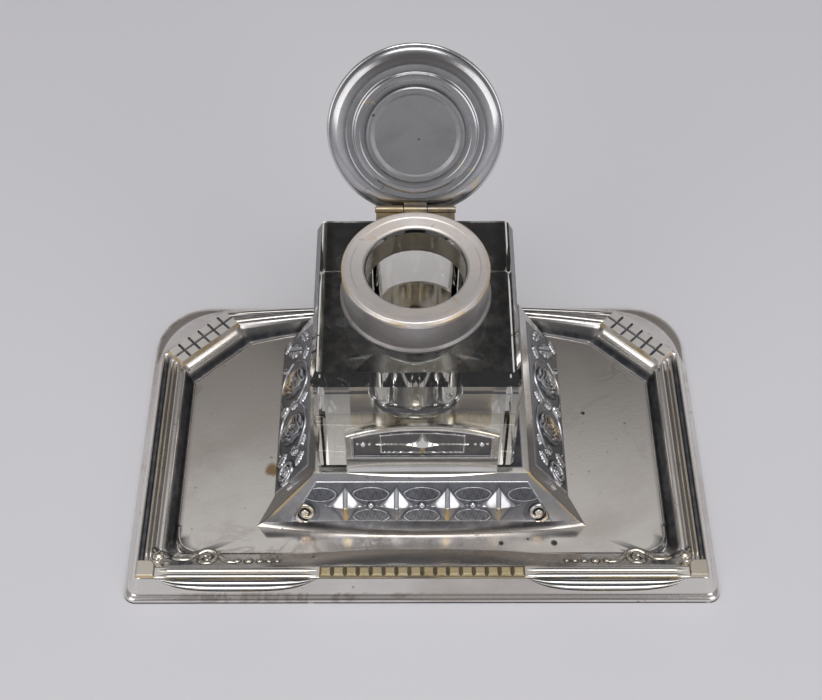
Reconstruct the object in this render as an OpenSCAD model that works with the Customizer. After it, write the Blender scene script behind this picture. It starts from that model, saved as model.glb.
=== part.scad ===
// Desk inkstand: a pressed silver plated tray with a raised plinth, a square cut glass ink block
// that lifts out between two galleries, and a hinged metal lid that rests open.
// Millimetres, Z up, origin on the table under the middle of the tray, front towards -Y.

/* [Tray] */
// Width of the tray over its base edge
tray_w = 210; // [196:1:230]
// Depth of the tray over its base edge
tray_d = 131; // [125:1:145]
// Height of the flat on top of the rim
rim_h = 8.6; // [7.5:0.1:11]
// Height of the base band round the foot of the tray
base_band_h = 2.6; // [1.8:0.1:3.4]
// How far the skirt leans in from the base edge to the rim
skirt_lean = 5.4; // [4:0.1:6.5]
// How far the skirt leans in at the sides
side_lean = 4.4; // [3.6:0.1:5.5]
// How far the skirt leans in at the middle of the back
rear_lean = 4.5; // [3.6:0.1:5.5]
// Width of each side rim, from base edge to pan floor
side_rim_w = 17.5; // [15:0.1:20]
// Width of the front rim, from base edge to pan floor
front_rim_w = 18; // [16:0.1:20]
// Width of the back rim where it meets the cut corners
rear_rim_w = 19.8; // [18:0.1:22]
// How far the pan floor arches back between the cut corners
rear_arch = 9.5; // [6:0.1:10]
// How far the front edge of the pan floor arches in
front_arch = 2; // [0:0.1:3]
// Length of the cut rear corners along the pan floor
cant_len = 27.7; // [24:0.1:32]
// Angle of the cut rear corners to the back
cant_angle = 43.5; // [38:0.5:48]
// Width of the rim across the cut corners
cant_rim_w = 16.6; // [15:0.1:18]
// Radius of the rear corners at the base
rear_corner_r = 20; // [12:0.5:22]
// Radius of the front corners at the base
front_corner_r = 4; // [2:0.5:6]
// Height of the pan floor above the table
floor_h = 3.2; // [2.6:0.1:4]
// Thickness of the pressed sheet
sheet = 1; // [0.7:0.1:1.2]

/* [Rim ornament] */
// Height of the reeds on the side rims
reed_h = 0.9; // [0.5:0.1:1.4]
// Width of the moulding along the back rim
rear_moulding_w = 1.5; // [1:0.1:1.8]
// Length of the corner blocks
block_len = 29; // [24:0.5:31]
// Width of the corner blocks
block_w = 8.9; // [7:0.1:9.6]
// Height of the corner blocks above the rim, without the tiles
block_h = 1.6; // [1:0.1:2.5]
// Tiles along each corner block
block_tiles = 6; // [3:1:8]
// Height of the raised tiles
tile_h = 0.8; // [0.4:0.1:1.2]
// Width of the grooves between tiles
tile_gap = 0.7; // [0.4:0.1:1]
// Side of the front corner pads
pad_side = 6.8; // [5:0.1:7.2]
// Height of the front corner pads
pad_h = 1.2; // [0.6:0.1:2]
// Length of the bead strip in the middle of the front rim
strip_len = 72; // [60:1:84]
// Squares along the bead strip
strip_beads = 16; // [10:1:20]
// How far the boat mouldings swell out of the skirt
boat_swell = 3.5; // [2:0.1:4]
// Radius of the scrolls on the front slope of the pan
scroll_r = 4; // [3:0.1:4.6]
// Distance of the scrolls from the ends of the pan floor
scroll_inset = 10.8; // [8:0.1:15]

/* [Plinth] */
// Width of the plinth's flat border round the glass block
plinth_border = 3.2; // [2.8:0.1:5]
// Height of the plinth top above the table
plinth_h = 27.6; // [22:0.1:34]
// How far each side slope runs out below the top
side_run = 16.3; // [12:0.1:18]
// How far the front tips reach out beyond the side foot
tip_reach = 5.5; // [3:0.1:7]
// How far the front slope runs out below the top
front_run = 9; // [7:0.1:10]
// Height of the flared foot of the front slope
flare_h = 5.8; // [4:0.1:8]
// Distance of the glass block's middle behind the tray's middle
block_back = 8.8; // [7:0.1:9.5]

/* [Relief bands] */
// Thickness of the relief bands' ground
band_t = 0.5; // [0.3:0.1:0.8]
// Distance between neighbouring stars
star_pitch = 18.1; // [16:0.1:19]
// Half height of a star along the slope
star_rise = 6.9; // [6:0.1:7]
// Half width of a star
star_reach = 6.6; // [5:0.1:7.5]
// Height of a star's point above the band
star_h = 2.2; // [1:0.1:3]
// Radius of the roses
rose_r = 5.4; // [3.5:0.1:5.6]
// Height of the roses above the band
rose_h = 1.8; // [1:0.1:2.6]

/* [Galleries] */
// How much narrower than the glass block each gallery is, at either end
gallery_inset = 8.1; // [5:0.1:12]
// Height of a gallery at its ends
gallery_h = 21.2; // [16:0.1:26]
// Rise of the gallery's arched top
gallery_rise = 6.4; // [3:0.1:8]
// Thickness of the gallery plate
gallery_t = 1.3; // [1:0.1:1.5]
// Depth of the sunk panel in the gallery
panel_sunk = 0.5; // [0.3:0.1:0.6]

/* [Glass block] */
// Side of the square glass block
glass_w = 69; // [67:0.1:70]
// Height of the glass block without its neck
glass_h = 53.6; // [46:0.1:60]
// Chamfer of the upright edges
glass_chamfer = 2.5; // [1.5:0.1:4]
// How far the top bevel leans in
bevel_in = 2; // [1:0.1:3]
// How far the top bevel reaches down
bevel_down = 5.5; // [3:0.1:8]
// Radius of the ink well
well_r = 16.6; // [13:0.1:16.7]
// Depth of the ink well below the block's top
well_depth = 44; // [34:0.1:45]
// Radius of the glass neck inside the collar
neck_r = 21.3; // [20.6:0.1:22]
// How far the block stands to the right of the plinth's middle
block_right = -2.3; // [-2.5:0.1:2.5]

/* [Collar and hinge] */
// Outer radius of the collar at its top
collar_r = 24.5; // [24:0.1:26]
// Outer radius of the collar's foot
collar_foot_r = 25.4; // [25.2:0.1:27]
// Height of the collar above the glass
collar_h = 14.4; // [11:0.1:18]
// Radius of the collar's mouth
mouth_r = 17; // [16.9:0.1:18]
// Thickness of the collar's top flange
flange_t = 1.4; // [1:0.1:2]
// Thickness of the collar's wall
collar_wall = 1.1; // [0.8:0.1:1.4]
// Radius of the hinge knuckles
knuckle_r = 1.5; // [1.3:0.1:1.6]
// Length of the whole hinge barrel
barrel_len = 26.6; // [22:0.1:30]
// Length of the lid's middle knuckle
lid_knuckle_len = 8; // [6:0.1:12]
// Radius of the hinge pin
pin_r = 0.6; // [0.4:0.05:0.8]
// Running clearance round the pin
pin_gap = 0.06; // [0.03:0.01:0.1]

/* [Lid] */
// Outer radius of the lid's rim
lid_r = 29.7; // [29:0.1:30]
// Height of the lid's rim above the collar when closed
lid_rim_rise = 3.2; // [2.6:0.1:5]
// Radius of the lid's seat ring
seat_r = 20.6; // [19:0.1:22]
// Depth of the seat ring below the flat of the pan
seat_h = 1.2; // [0.8:0.1:1.6]
// Height of the dome above the rim
dome_h = 5.5; // [3:0.1:8]
// How far the lid disc hangs below the seat
disc_drop = 1.7; // [1:0.1:2]
// Clearance between the lid disc and the mouth
disc_gap = 0.5; // [0.3:0.1:1]
// Angle the lid opens through from closed to its stop
lid_open = 117; // [100:1:117]

/* [Hidden] */
// Clearance between neighbouring pieces that move apart or lie free
gap = 0.3;
// Smooth and fine roundness
$fn = 64;

// Colours as seen in the photograph
silver = [0.73, 0.72, 0.70];
worn_brass = [0.78, 0.70, 0.50];
dark_silver = [0.50, 0.51, 0.54];
glass_tint = [0.62, 0.66, 0.60, 0.45];
cement_tone = [0.55, 0.50, 0.44];

// Half sizes of the tray
base_x = tray_w / 2;
base_y = tray_d / 2;
rim_x = base_x - side_lean;
rim_y = base_y - skirt_lean;
floor_x = base_x - side_rim_w;
floor_front = base_y - front_rim_w;
rim_front_r = 2;
floor_corner_r = 5;
rim_rear_mid = base_y - rear_lean;

// Cut rear corners: ends of the pan floor's line, and its outward normal
cant_dir = [-cos(cant_angle), sin(cant_angle)];
cant_out = [sin(cant_angle), cos(cant_angle)];
cant_b = [floor_x - cant_len * cos(cant_angle), base_y - rear_rim_w];
cant_a = [floor_x, cant_b[1] - cant_len * sin(cant_angle)];
rim_cant_b = cant_b + cant_rim_w * cant_out;
rim_cant_a = cant_a + cant_rim_w * cant_out
    - ((rim_x - cant_a[0] - cant_rim_w * cant_out[0]) / cant_dir[0] * -1) * cant_dir;

// Points in each stretch of half a loop round the tray
front_n = 8;
corner_n = 4;
side_n = 6;
cant_n = 14;
rear_n = 8;

function mix(a, b, t) = a + (b - a) * t;
function line(a, b, n) = [for (i = [0:n - 1]) mix(a, b, i / n)];
function arc(c, r, from, to, n) =
    [for (i = [0:n - 1]) let (w = mix(from, to, i / n)) c + r * [cos(w), sin(w)]];
function bow_r(half, rise) = (half * half + rise * rise) / (2 * rise);
// Height of a circular bow over its chord, at x from the middle
function bow(x, half, rise) =
    rise <= 0 ? 0 : let (r = bow_r(half, rise)) sqrt(r * r - x * x) - (r - rise);
// A whole loop from its right half, which runs from front middle to rear middle
function mirrored(half) =
    concat(half, [for (i = [len(half) - 2:-1:1]) [-half[i][0], half[i][1]]]);
function at_z(loop, z) = [for (p = loop) [p[0], p[1], z]];
function mix_loops(a, b, t) = [for (i = [0:len(a) - 1]) mix(a[i], b[i], t)];

// Closed solid through a list of rings with equal numbers of points, its ends fanned from their middles
module loft(rings) {
    n = len(rings[0]);
    m = len(rings);
    ends = [for (r = [rings[0], rings[m - 1]]) (r[0] + r[n / 2]) / 2];
    polyhedron(
        points = concat([for (r = rings) for (p = r) p], ends),
        faces = concat(
            [for (i = [0:n - 1]) [m * n, i, (i + 1) % n]],
            [for (k = [0:m - 2]) for (i = [0:n - 1]) let (j = (i + 1) % n)
                let (a = k * n + i, b = a + n, c = (k + 1) * n + j, d = k * n + j)
                for (f = [[a, b, c], [a, c, d]]) f],
            [for (i = [0:n - 1]) [m * n + 1, (m - 1) * n + (i + 1) % n, (m - 1) * n + i]]));
}

// Loop at the base edge
base_loop = mirrored(concat(
    line([0, -base_y], [base_x - front_corner_r, -base_y], front_n),
    arc([base_x - front_corner_r, front_corner_r - base_y], front_corner_r, -90, 0, corner_n),
    line([base_x, front_corner_r - base_y], [base_x, rim_cant_a[1] - 2], side_n),
    [[base_x, rim_cant_a[1] - 2]],
    arc([base_x - rear_corner_r, base_y - rear_corner_r], rear_corner_r, 0, 90, cant_n - 3),
    [[base_x - rear_corner_r, base_y], [mix(base_x - rear_corner_r, rim_cant_b[0], 0.5), base_y]],
    line([rim_cant_b[0], base_y], [0, base_y], rear_n),
    [[0, base_y]]));

// Loop along the outer edge of the rim's top
rim_half = rim_cant_b[0];
rim_rise = rim_rear_mid - rim_cant_b[1];
rim_loop = mirrored(concat(
    line([0, -rim_y], [rim_x - rim_front_r, -rim_y], front_n),
    arc([rim_x - rim_front_r, rim_front_r - rim_y], rim_front_r, -90, 0, corner_n),
    line([rim_x, rim_front_r - rim_y], rim_cant_a, side_n),
    line(rim_cant_a, rim_cant_b, cant_n),
    [for (i = [0:rear_n]) let (x = rim_half * (1 - i / rear_n))
        [x, rim_cant_b[1] + bow(x, rim_half, rim_rise)]]));

// Loop along the edge of the pan floor
floor_half = floor_x - floor_corner_r;
floor_loop = mirrored(concat(
    [for (i = [0:front_n - 1]) let (x = floor_half * i / front_n)
        [x, -floor_front + front_arch * max(0, 1 - pow(x / (floor_half / 2), 2))]],
    arc([floor_half, floor_corner_r - floor_front], floor_corner_r, -90, 0, corner_n),
    line([floor_x, floor_corner_r - floor_front], cant_a, side_n),
    line(cant_a, cant_b, cant_n),
    [for (i = [0:rear_n]) let (x = cant_b[0] * (1 - i / rear_n))
        [x, cant_b[1] + bow(x, cant_b[0], rear_arch)]]));

// Which kind of rim each point of a loop belongs to: 0 side or rear, 1 cut corner, 2 front
rim_kind_half = concat(
    [for (i = [0:front_n + corner_n - 1]) 2], [for (i = [0:side_n - 1]) 0],
    [for (i = [0:cant_n]) 1], [for (i = [0:rear_n - 1]) 0]);
rim_kind = concat(rim_kind_half, [for (i = [len(rim_kind_half) - 2:-1:1]) rim_kind_half[i]]);

// Rim section by kind: share of the way from rim edge to pan floor, and height
flat_side = 0.42;
flat_cant = 0.63;
flat_front = 0.37;
crest_h = 0.8;
bead_h = 1.1;
slope_top = rim_h - 0.2;
function down(t) = mix(slope_top, floor_h, (t - flat_front - 0.03) / (1 - flat_front - 0.03));
rim_section = [
    [[flat_side, rim_h], [0.55, rim_h + crest_h], [0.72, rim_h], [0.75, rim_h - 0.6],
        [0.95, floor_h + bead_h - 0.3], [0.975, floor_h + bead_h], [1, floor_h]],
    [[flat_cant, rim_h], [0.67, rim_h - 0.3], [0.80, rim_h - 1.6], [0.82, rim_h - 2.2],
        [0.95, floor_h + bead_h - 0.3], [0.975, floor_h + bead_h], [1, floor_h]],
    [[flat_front, rim_h], [flat_front + 0.03, slope_top], [0.60, down(0.60)], [0.70, down(0.70)],
        [0.80, down(0.80)], [0.90, down(0.90)], [1, floor_h]]];
function rim_ring(k) = [for (i = [0:len(rim_loop) - 1]) let (s = rim_section[rim_kind[i]][k])
    [each mix(rim_loop[i], floor_loop[i], s[0]), s[1]]];
// The sheet's underside: a plainer section that stays about one sheet below the top
function under_ring(t, heights) = [for (i = [0:len(rim_loop) - 1])
    [each mix(rim_loop[i], floor_loop[i], t), heights[rim_kind[i]]]];

band_lean = 0.34;
band_foot = 0.6;
rim_under = rim_h - sheet;
floor_under = floor_h - sheet;
under_slope = sheet * 1.2;

module tray() {
    color(silver) loft(concat(
        [at_z(floor_loop, floor_under),
            under_ring(0.90, [floor_h - 0.2, floor_h - 0.2, down(0.90) - under_slope]),
            under_ring(0.68, [rim_under - 0.2, rim_under - 0.6, down(0.68) - under_slope]),
            under_ring(0.40, [rim_under, rim_under, rim_under - 0.3]),
            under_ring(0.10, [rim_under, rim_under, rim_under]),
            at_z(mix_loops(base_loop, rim_loop, 0.54), base_band_h - 0.2),
            at_z(mix_loops(base_loop, rim_loop, 0.24), band_foot),
            at_z(mix_loops(base_loop, rim_loop, 0.24), 0),
            at_z(base_loop, 0),
            at_z(base_loop, base_band_h - 1),
            at_z(mix_loops(base_loop, rim_loop, band_lean), base_band_h),
            at_z(rim_loop, rim_h)],
        [for (k = [0:6]) rim_ring(k)]));
}

// Corner blocks: slab and tiles, square to the cut corner
block_mid = (cant_a + cant_b) / 2 + (cant_rim_w * (1 - flat_cant) + 0.2 + block_w / 2) * cant_out;

module tiles(long, wide, n_long, n_wide) {
    step_x = long / n_long;
    step_y = wide / n_wide;
    for (i = [0:n_long - 1], j = [0:n_wide - 1])
        translate([(i + 0.5) * step_x - long / 2, (j + 0.5) * step_y - wide / 2, tile_h / 2])
            cube([step_x - tile_gap, step_y - tile_gap, tile_h], center = true);
}

module corner_block() {
    color(worn_brass) translate([block_mid[0], block_mid[1], rim_h]) rotate(-cant_angle) {
        translate([-block_len / 2, -block_w / 2, 0]) cube([block_len, block_w, block_h]);
        translate([0, 0, block_h]) tiles(block_len, block_w, block_tiles, 2);
    }
}

// Ends of the corner block's front and rear faces, which the mouldings stop short of
block_front_y = block_mid[1] - block_len / 2 * sin(cant_angle) - block_w / 2 * cos(cant_angle);
block_rear_x = block_mid[0] - block_len / 2 * cos(cant_angle) - block_w / 2 * sin(cant_angle);

// Side reeding: a strip with two reeds along the flat of the side rim
flat_side_w = flat_side * (rim_x - floor_x);
pad_edge = 0.3;
reed_from = -rim_y + pad_edge + pad_side + gap;
reed_to = block_front_y + 1;
reed_t = reed_h / 3;
module reeding() {
    w = flat_side_w - 0.3;
    color(dark_silver) translate([rim_x - 0.3, reed_to, rim_h]) rotate([90, 0, 0])
        linear_extrude(reed_to - reed_from)
            polygon([[0, 0], [0, reed_t], [-0.16 * w, reed_h], [-0.30 * w, reed_h], [-0.42 * w, reed_t],
                [-0.52 * w, reed_t], [-0.64 * w, reed_h], [-0.76 * w, reed_h], [-0.88 * w, reed_t],
                [-w + 0.3, reed_t], [-w + 0.3, 0]]);
}

// Rear moulding: a low flat band that follows the bow of the back rim
rim_bow_r = bow_r(rim_half, rim_rise);
moulding_half = block_rear_x + 3;
module rear_moulding() {
    color(silver) translate([0, 0, rim_h]) linear_extrude(reed_h * 0.8) intersection() {
        translate([0, rim_rear_mid - rim_bow_r]) difference() {
            circle(rim_bow_r - 0.4, $fn = 360);
            circle(rim_bow_r - 0.4 - rear_moulding_w, $fn = 360);
        }
        translate([-moulding_half, 0]) square([2 * moulding_half, base_y]);
    }
}

module corner_pad() {
    cut = 2.2;
    color(worn_brass) translate([rim_x - pad_edge, -rim_y + pad_edge, rim_h]) linear_extrude(pad_h)
        polygon([[0, 0], [0, pad_side], [cut - pad_side, pad_side], [-pad_side, pad_side - cut],
            [-pad_side, 0]]);
}

// Front bead strip: bar with a row of flat squares
strip_w = flat_front * (rim_y - floor_front) - 0.4;
strip_base = 0.4;
module front_bead_strip() {
    color(worn_brass) translate([0, -rim_y + 0.2 + strip_w / 2, rim_h]) {
        translate([-strip_len / 2, -strip_w / 2, 0]) cube([strip_len, strip_w, strip_base]);
        translate([0, 0, strip_base]) tiles(strip_len, strip_w, strip_beads, 1);
    }
}

// Boat mouldings: three stepped crescents that swell out of the front skirt
boat_from = strip_len / 2 + 0.6;
boat_to = rim_x - pad_edge - pad_side - gap;
boat_half = (boat_to - boat_from) / 2;
boat_steps = [[4.2, 6.2, 1], [6.2, 8, 0.66], [8, rim_h + 0.7, 0.34]];
skirt_foot_y = -base_y + band_lean * skirt_lean;
module boat_outline(swell) {
    n = 20;
    polygon(concat(
        [for (i = [0:n]) let (u = 2 * i / n - 1) [u * boat_half, -swell * (1 - pow(abs(u), 3.5))]],
        [[boat_half, strip_w * 0.3], [-boat_half, strip_w * 0.3]]));
}
module boat_moulding() {
    color(silver) difference() {
        for (s = boat_steps) translate([boat_from + boat_half, -rim_y - 0.1, s[0]])
            linear_extrude(s[1] - s[0]) boat_outline(boat_swell * s[2]);
        rotate([90, 0, 90]) linear_extrude(base_x)
            polygon([[skirt_foot_y, 0], [skirt_foot_y, base_band_h], [-rim_y, rim_h], [0, rim_h], [0, 0]]);
    }
}

// Front slope of the pan: its tilt, and a place on it
slope_flat = flat_front + 0.03;
slope_run = (1 - slope_flat) * (rim_y - floor_front);
slope_tilt = atan((slope_top - floor_h) / slope_run);
slope_mid_y = -floor_front - slope_run * 0.62;
module on_slope(x) {
    translate([x, slope_mid_y, mix(floor_h, slope_top, 0.62)]) rotate([-slope_tilt, 0, 0]) children();
}
// Spiral scroll that narrows towards its middle
module volute(r, turns, wide, high) {
    n = 40;
    function spoke(t, in) =
        let (w = 90 - 360 * turns * t, q = mix(r, wide * 0.8, t) - in * wide * mix(1, 0.6, t))
        q * [cos(w), sin(w)];
    linear_extrude(high)
        polygon(concat([for (i = [0:n]) spoke(i / n, 0)], [for (i = [n:-1:0]) spoke(i / n, 1)]));
}
scroll_x = floor_x - scroll_inset;
chain_r = [1.3, 1.5, 1.15, 1, 0.8];
chain_x = [10.2, 15, 19.1, 22.9, 26.4];
module dome(r) {
    intersection() {
        translate([0, 0, -r * 0.3]) sphere(r, $fn = 12);
        translate([-r, -r, 0]) cube(2 * r);
    }
}
module scroll() {
    color(silver) {
        on_slope(scroll_x) volute(scroll_r, 1.6, 1.1, 1.1);
        for (i = [0:len(chain_r) - 1]) on_slope(scroll_x - chain_x[i]) dome(chain_r[i] * 1.05);
    }
}

// Plinth: loops at five heights, with a flat front slope that flares at its foot
top_half = glass_w / 2 + plinth_border;
top_front = block_back - top_half;
top_rear = block_back + top_half;
foot_half = top_half + side_run;
tip_half = foot_half + tip_reach;
rise = plinth_h - floor_h;
slope_foot_z = floor_h + flare_h;
slope_foot_y = top_front - front_run;
mitre = [tip_half - 3, slope_foot_y];
tip = [tip_half, slope_foot_y + 1.5];
foot_front_y = slope_foot_y - 2.1;
side_front_y = top_front + 4.9;
side_rear_y = top_rear - 3;
foot_rear_half = foot_half - 4;
foot_rear_y = min(top_rear + 2.5, cant_b[1] + bow(foot_rear_half, cant_b[0], rear_arch) - 0.6);
// Share of the way from the top down to the foot, for a height
function fall(z) = (plinth_h - z) / rise;
// How far the front slope or its flare has come down at a height
function front_fall(z) = (plinth_h - z) / (plinth_h - slope_foot_z);
function flare_fall(z) = (slope_foot_z - z) / flare_h;
function front_corner(z) = z >= slope_foot_z ? mix([top_half, top_front], mitre, front_fall(z))
    : mix(mitre, tip, flare_fall(z));
function front_middle(z) = z >= slope_foot_z ? front_corner(z)[1]
    : mix(slope_foot_y, foot_front_y, sin(90 * flare_fall(z)));
function plinth_loop(z) = let (
    f = fall(z),
    corner = front_corner(z),
    bulge = front_middle(z) - corner[1],
    side_x = mix(top_half, foot_half, f),
    rear_x = mix(top_half, foot_rear_half, f),
    rear_y = mix(top_rear, foot_rear_y, f))
    mirrored(concat(
        [for (i = [0:6]) let (u = i / 6) [u * corner[0], corner[1] + bulge * (1 - u * u)]],
        line([side_x, mix(top_front + 2, side_front_y, f)], [side_x, side_rear_y], 4),
        [[side_x, mix(top_rear - 1, side_rear_y, f)], [rear_x, rear_y]],
        line([rear_x * 0.8, rear_y], [0, rear_y], 3),
        [[0, rear_y]]));
// The same loop drawn in by the sheet, for the hollow inside
function inset_loop(z, by) = let (loop = plinth_loop(z)) [for (p = loop)
    [p[0] - by * sign(p[0]) * min(1, abs(p[0]) / 8), p[1] + (p[1] < block_back ? by : -by)]];
plinth_levels = [floor_h, mix(floor_h, slope_foot_z, 0.33), mix(floor_h, slope_foot_z, 0.67),
    slope_foot_z, plinth_h];
module plinth() {
    color(silver) loft(concat(
        [at_z(inset_loop(plinth_h - sheet, sheet * 1.4), plinth_h - sheet),
            at_z(inset_loop(slope_foot_z, sheet * 1.6), slope_foot_z),
            at_z(inset_loop(floor_h, sheet * 2), floor_h)],
        [for (z = plinth_levels) at_z(plinth_loop(z), z)]));
}

// Relief bands lie in the planes of the plinth's slopes: y runs up the slope, z stands out of it
front_tilt = atan2(plinth_h - slope_foot_z, front_run);
front_slope_len = norm([front_run, plinth_h - slope_foot_z]);
module on_front() {
    translate([0, top_front, plinth_h]) rotate([front_tilt, 0, 0]) children();
}
side_tilt = atan2(rise, side_run);
side_slope_len = norm([side_run, rise]);
module on_right() {
    translate([foot_half, 0, floor_h]) rotate([0, 0, 90]) rotate([side_tilt, 0, 0]) children();
}
module star(reach, up, high) {
    w = 0.28;
    pts = [[reach, 0], [reach * w, up * w], [0, up], [-reach * w, up * w], [-reach, 0],
        [-reach * w, -up * w], [0, -up], [reach * w, -up * w]];
    polyhedron(
        points = concat([for (p = pts) [p[0], p[1], 0]], [[0, 0, high]]),
        faces = concat([[for (i = [0:7]) i]], [for (i = [0:7]) [(i + 1) % 8, i, 8]]));
}
// Outline of a lens that stands on its point, with straight facets
module lens(half_w, half_h) {
    n = 8;
    right = [for (i = [0:n - 1]) let (y = half_h * (2 * i / n - 1)) [bow(y, half_h, half_w), y]];
    polygon(concat(right, [for (p = right) [-p[0], -p[1]]]));
}
star_mid = 0.64 * front_slope_len;
sunk = band_t / 2;
band_top = 3.3;
band_bottom = front_slope_len - 0.3;
band_top_half = top_half - 0.3;
band_bottom_half = top_half + 9.4;
module star_band() {
    star_room = star_rise + 0.4;
    color(dark_silver) on_front() {
        linear_extrude(band_t) polygon([[-band_top_half, -band_top], [band_top_half, -band_top],
            [band_bottom_half, -band_bottom], [-band_bottom_half, -band_bottom]]);
        for (i = [-1.5:1.5]) translate([i * star_pitch, -star_mid, band_t - sunk])
            star(star_reach, star_rise, star_h + sunk);
        for (i = [-1:1]) translate([i * star_pitch, -star_mid, band_t - sunk]) {
            dome(1.4);
            linear_extrude(sunk + 0.5) difference() {
                lens(6.9, 7.2);
                lens(6.2, 6.4);
                for (s = [-1, 1]) translate([s * star_pitch / 2, 0])
                    polygon([[star_room, 0], [0, star_room], [-star_room, 0], [0, -star_room]]);
            }
        }
        for (s = [0, 1]) mirror([s, 0, 0]) translate([top_half + 2.1, -star_mid - 3.2, band_t - sunk])
            volute(3.9, 1.7, 0.95, sunk + 0.8);
    }
}

// Roses: two rings of round petals and a bud, on a ground with leaves and a volute below
module rose(r, high) {
    outer_n = 6;
    inner_n = 5;
    for (i = [0:outer_n - 1]) rotate(i * 360 / outer_n) translate([r * 0.62, 0, 0])
        cylinder(r = r * 0.38, h = high * 0.6);
    for (i = [0:inner_n - 1]) rotate(36 + i * 360 / inner_n) translate([r * 0.34, 0, 0])
        cylinder(r = r * 0.26, h = high * 0.85);
    cylinder(r = r * 0.3, h = high);
}
rose_band_y = [side_front_y + 0.8, side_rear_y - 1.5];
rose_band_rise = [0.8, 0.83 * side_slope_len];
rose_y = [20, -1.5];
rose_up = [0.39 * side_slope_len, 0.42 * side_slope_len];
// Leaves: place along the band, place up it, and turn
leaves = [[32, 10, -55], [38, 6.5, -20], [11, 6, -30], [12, 14, 20], [-10.5, 15, -50], [31, 16, 10]];
module rose_band() {
    color(dark_silver) on_right() {
        translate([rose_band_y[0], rose_band_rise[0], 0])
            cube([rose_band_y[1] - rose_band_y[0], rose_band_rise[1] - rose_band_rise[0], band_t]);
        translate([0, 0, band_t]) {
            for (i = [0, 1]) translate([rose_y[i], rose_up[i], 0]) rose(rose_r, rose_h);
            translate([rose_band_y[0] + 5, rose_band_rise[0] + 7, 0]) volute(4.4, 1.8, 1, 0.9);
            for (p = leaves) translate([p[0], p[1], 0]) rotate(p[2]) linear_extrude(0.8) lens(1.6, 4);
        }
    }
}

gallery_w = glass_w - 2 * gallery_inset;
// Galleries: plate with an arched top, a sunk panel with a star, and a coved foot
cove_h = 7;
cove_out = 1.4;
gallery_back = top_front + cove_out + gallery_t;
module gallery_face(inset) {
    half = gallery_w / 2 - inset;
    rise_in = gallery_rise * half / (gallery_w / 2);
    r = bow_r(half, rise_in);
    intersection() {
        translate([-half, 0]) square([2 * half, gallery_h + gallery_rise]);
        translate([0, gallery_h + gallery_rise - inset - r]) circle(r, $fn = 180);
    }
}
module gallery() {
    color(silver) {
        translate([0, gallery_back, plinth_h]) rotate([90, 0, 0]) difference() {
            linear_extrude(gallery_t) gallery_face(0);
            translate([0, 0, gallery_t - panel_sunk]) linear_extrude(gallery_t) intersection() {
                gallery_face(2.2);
                translate([-gallery_w, cove_h]) square([2 * gallery_w, gallery_h + gallery_rise]);
            }
        }
        translate([0, gallery_back - gallery_t + panel_sunk, plinth_h + gallery_h * 0.72])
            rotate([90, 0, 0]) star(16 / 26.4 * gallery_w / 2, 6.8, 1.5);
        // Coved foot in front of the plate
        translate([-gallery_w / 2, gallery_back - gallery_t, plinth_h]) rotate([90, 0, 90])
            linear_extrude(gallery_w) difference() {
                translate([-cove_out, 0]) square([cove_out, cove_h]);
                translate([-bow_r(cove_h - 0.8, cove_out), cove_h])
                    circle(bow_r(cove_h - 0.8, cove_out), $fn = 180);
            }
    }
}
module rear_copy() {
    translate([0, 2 * block_back, 0]) mirror([0, 1, 0]) children();
}

// Glass block with bevelled top, neck and round bottomed well
glass_half = glass_w / 2;
glass_top = plinth_h + glass_h;
collar_top = glass_top + collar_h;
neck_top = collar_top - flange_t - 0.2;
well_bottom = glass_top - well_depth;
module bevelled() {
    rotate([90, 0, 0]) translate([0, 0, -glass_w]) linear_extrude(2 * glass_w)
        polygon([[-glass_half, 0], [glass_half, 0], [glass_half, glass_h - bevel_down],
            [glass_half - bevel_in, glass_h], [bevel_in - glass_half, glass_h],
            [-glass_half, glass_h - bevel_down]]);
}
module glass_block() {
    c = glass_half - glass_chamfer;
    color(glass_tint) translate([block_right, block_back, plinth_h]) difference() {
        union() {
            intersection() {
                linear_extrude(glass_h) polygon([[-c, -glass_half], [c, -glass_half], [glass_half, -c],
                    [glass_half, c], [c, glass_half], [-c, glass_half], [-glass_half, c], [-glass_half, -c]]);
                bevelled();
                rotate(90) bevelled();
            }
            cylinder(r = neck_r, h = neck_top - plinth_h);
        }
        translate([0, 0, well_bottom + well_r - plinth_h]) {
            cylinder(r = well_r, h = collar_top);
            sphere(well_r);
        }
    }
}

// Collar: wall, foot and top flange round the glass neck
foot_h = 1.3;
edge = 0.6;
module collar() {
    color(silver) at_block(glass_top) difference() {
        rotate_extrude() polygon([[collar_foot_r, 0], [collar_foot_r, foot_h - 0.4],
            [collar_foot_r - 0.4, foot_h], [collar_r, foot_h + 0.3], [collar_r, collar_h - edge],
            [collar_r - edge, collar_h], [mouth_r + 0.3, collar_h],
            [mouth_r, collar_h - 0.3], [mouth_r, collar_h - flange_t],
            [collar_r - collar_wall, collar_h - flange_t], [collar_r - collar_wall, 0]]);
        translate([0, hinge_off, hinge_z - glass_top]) barrel_room(barrel_len / 2 + gap);
    }
}
module collar_cement() {
    color(cement_tone) at_block(glass_top) difference() {
        cylinder(r = collar_r - collar_wall - 0.1, h = neck_top - glass_top - 0.6);
        translate([0, 0, -1]) cylinder(r = neck_r + 0.1, h = collar_h);
    }
}
module at_block(z) {
    translate([block_right, block_back, z]) children();
}

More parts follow.
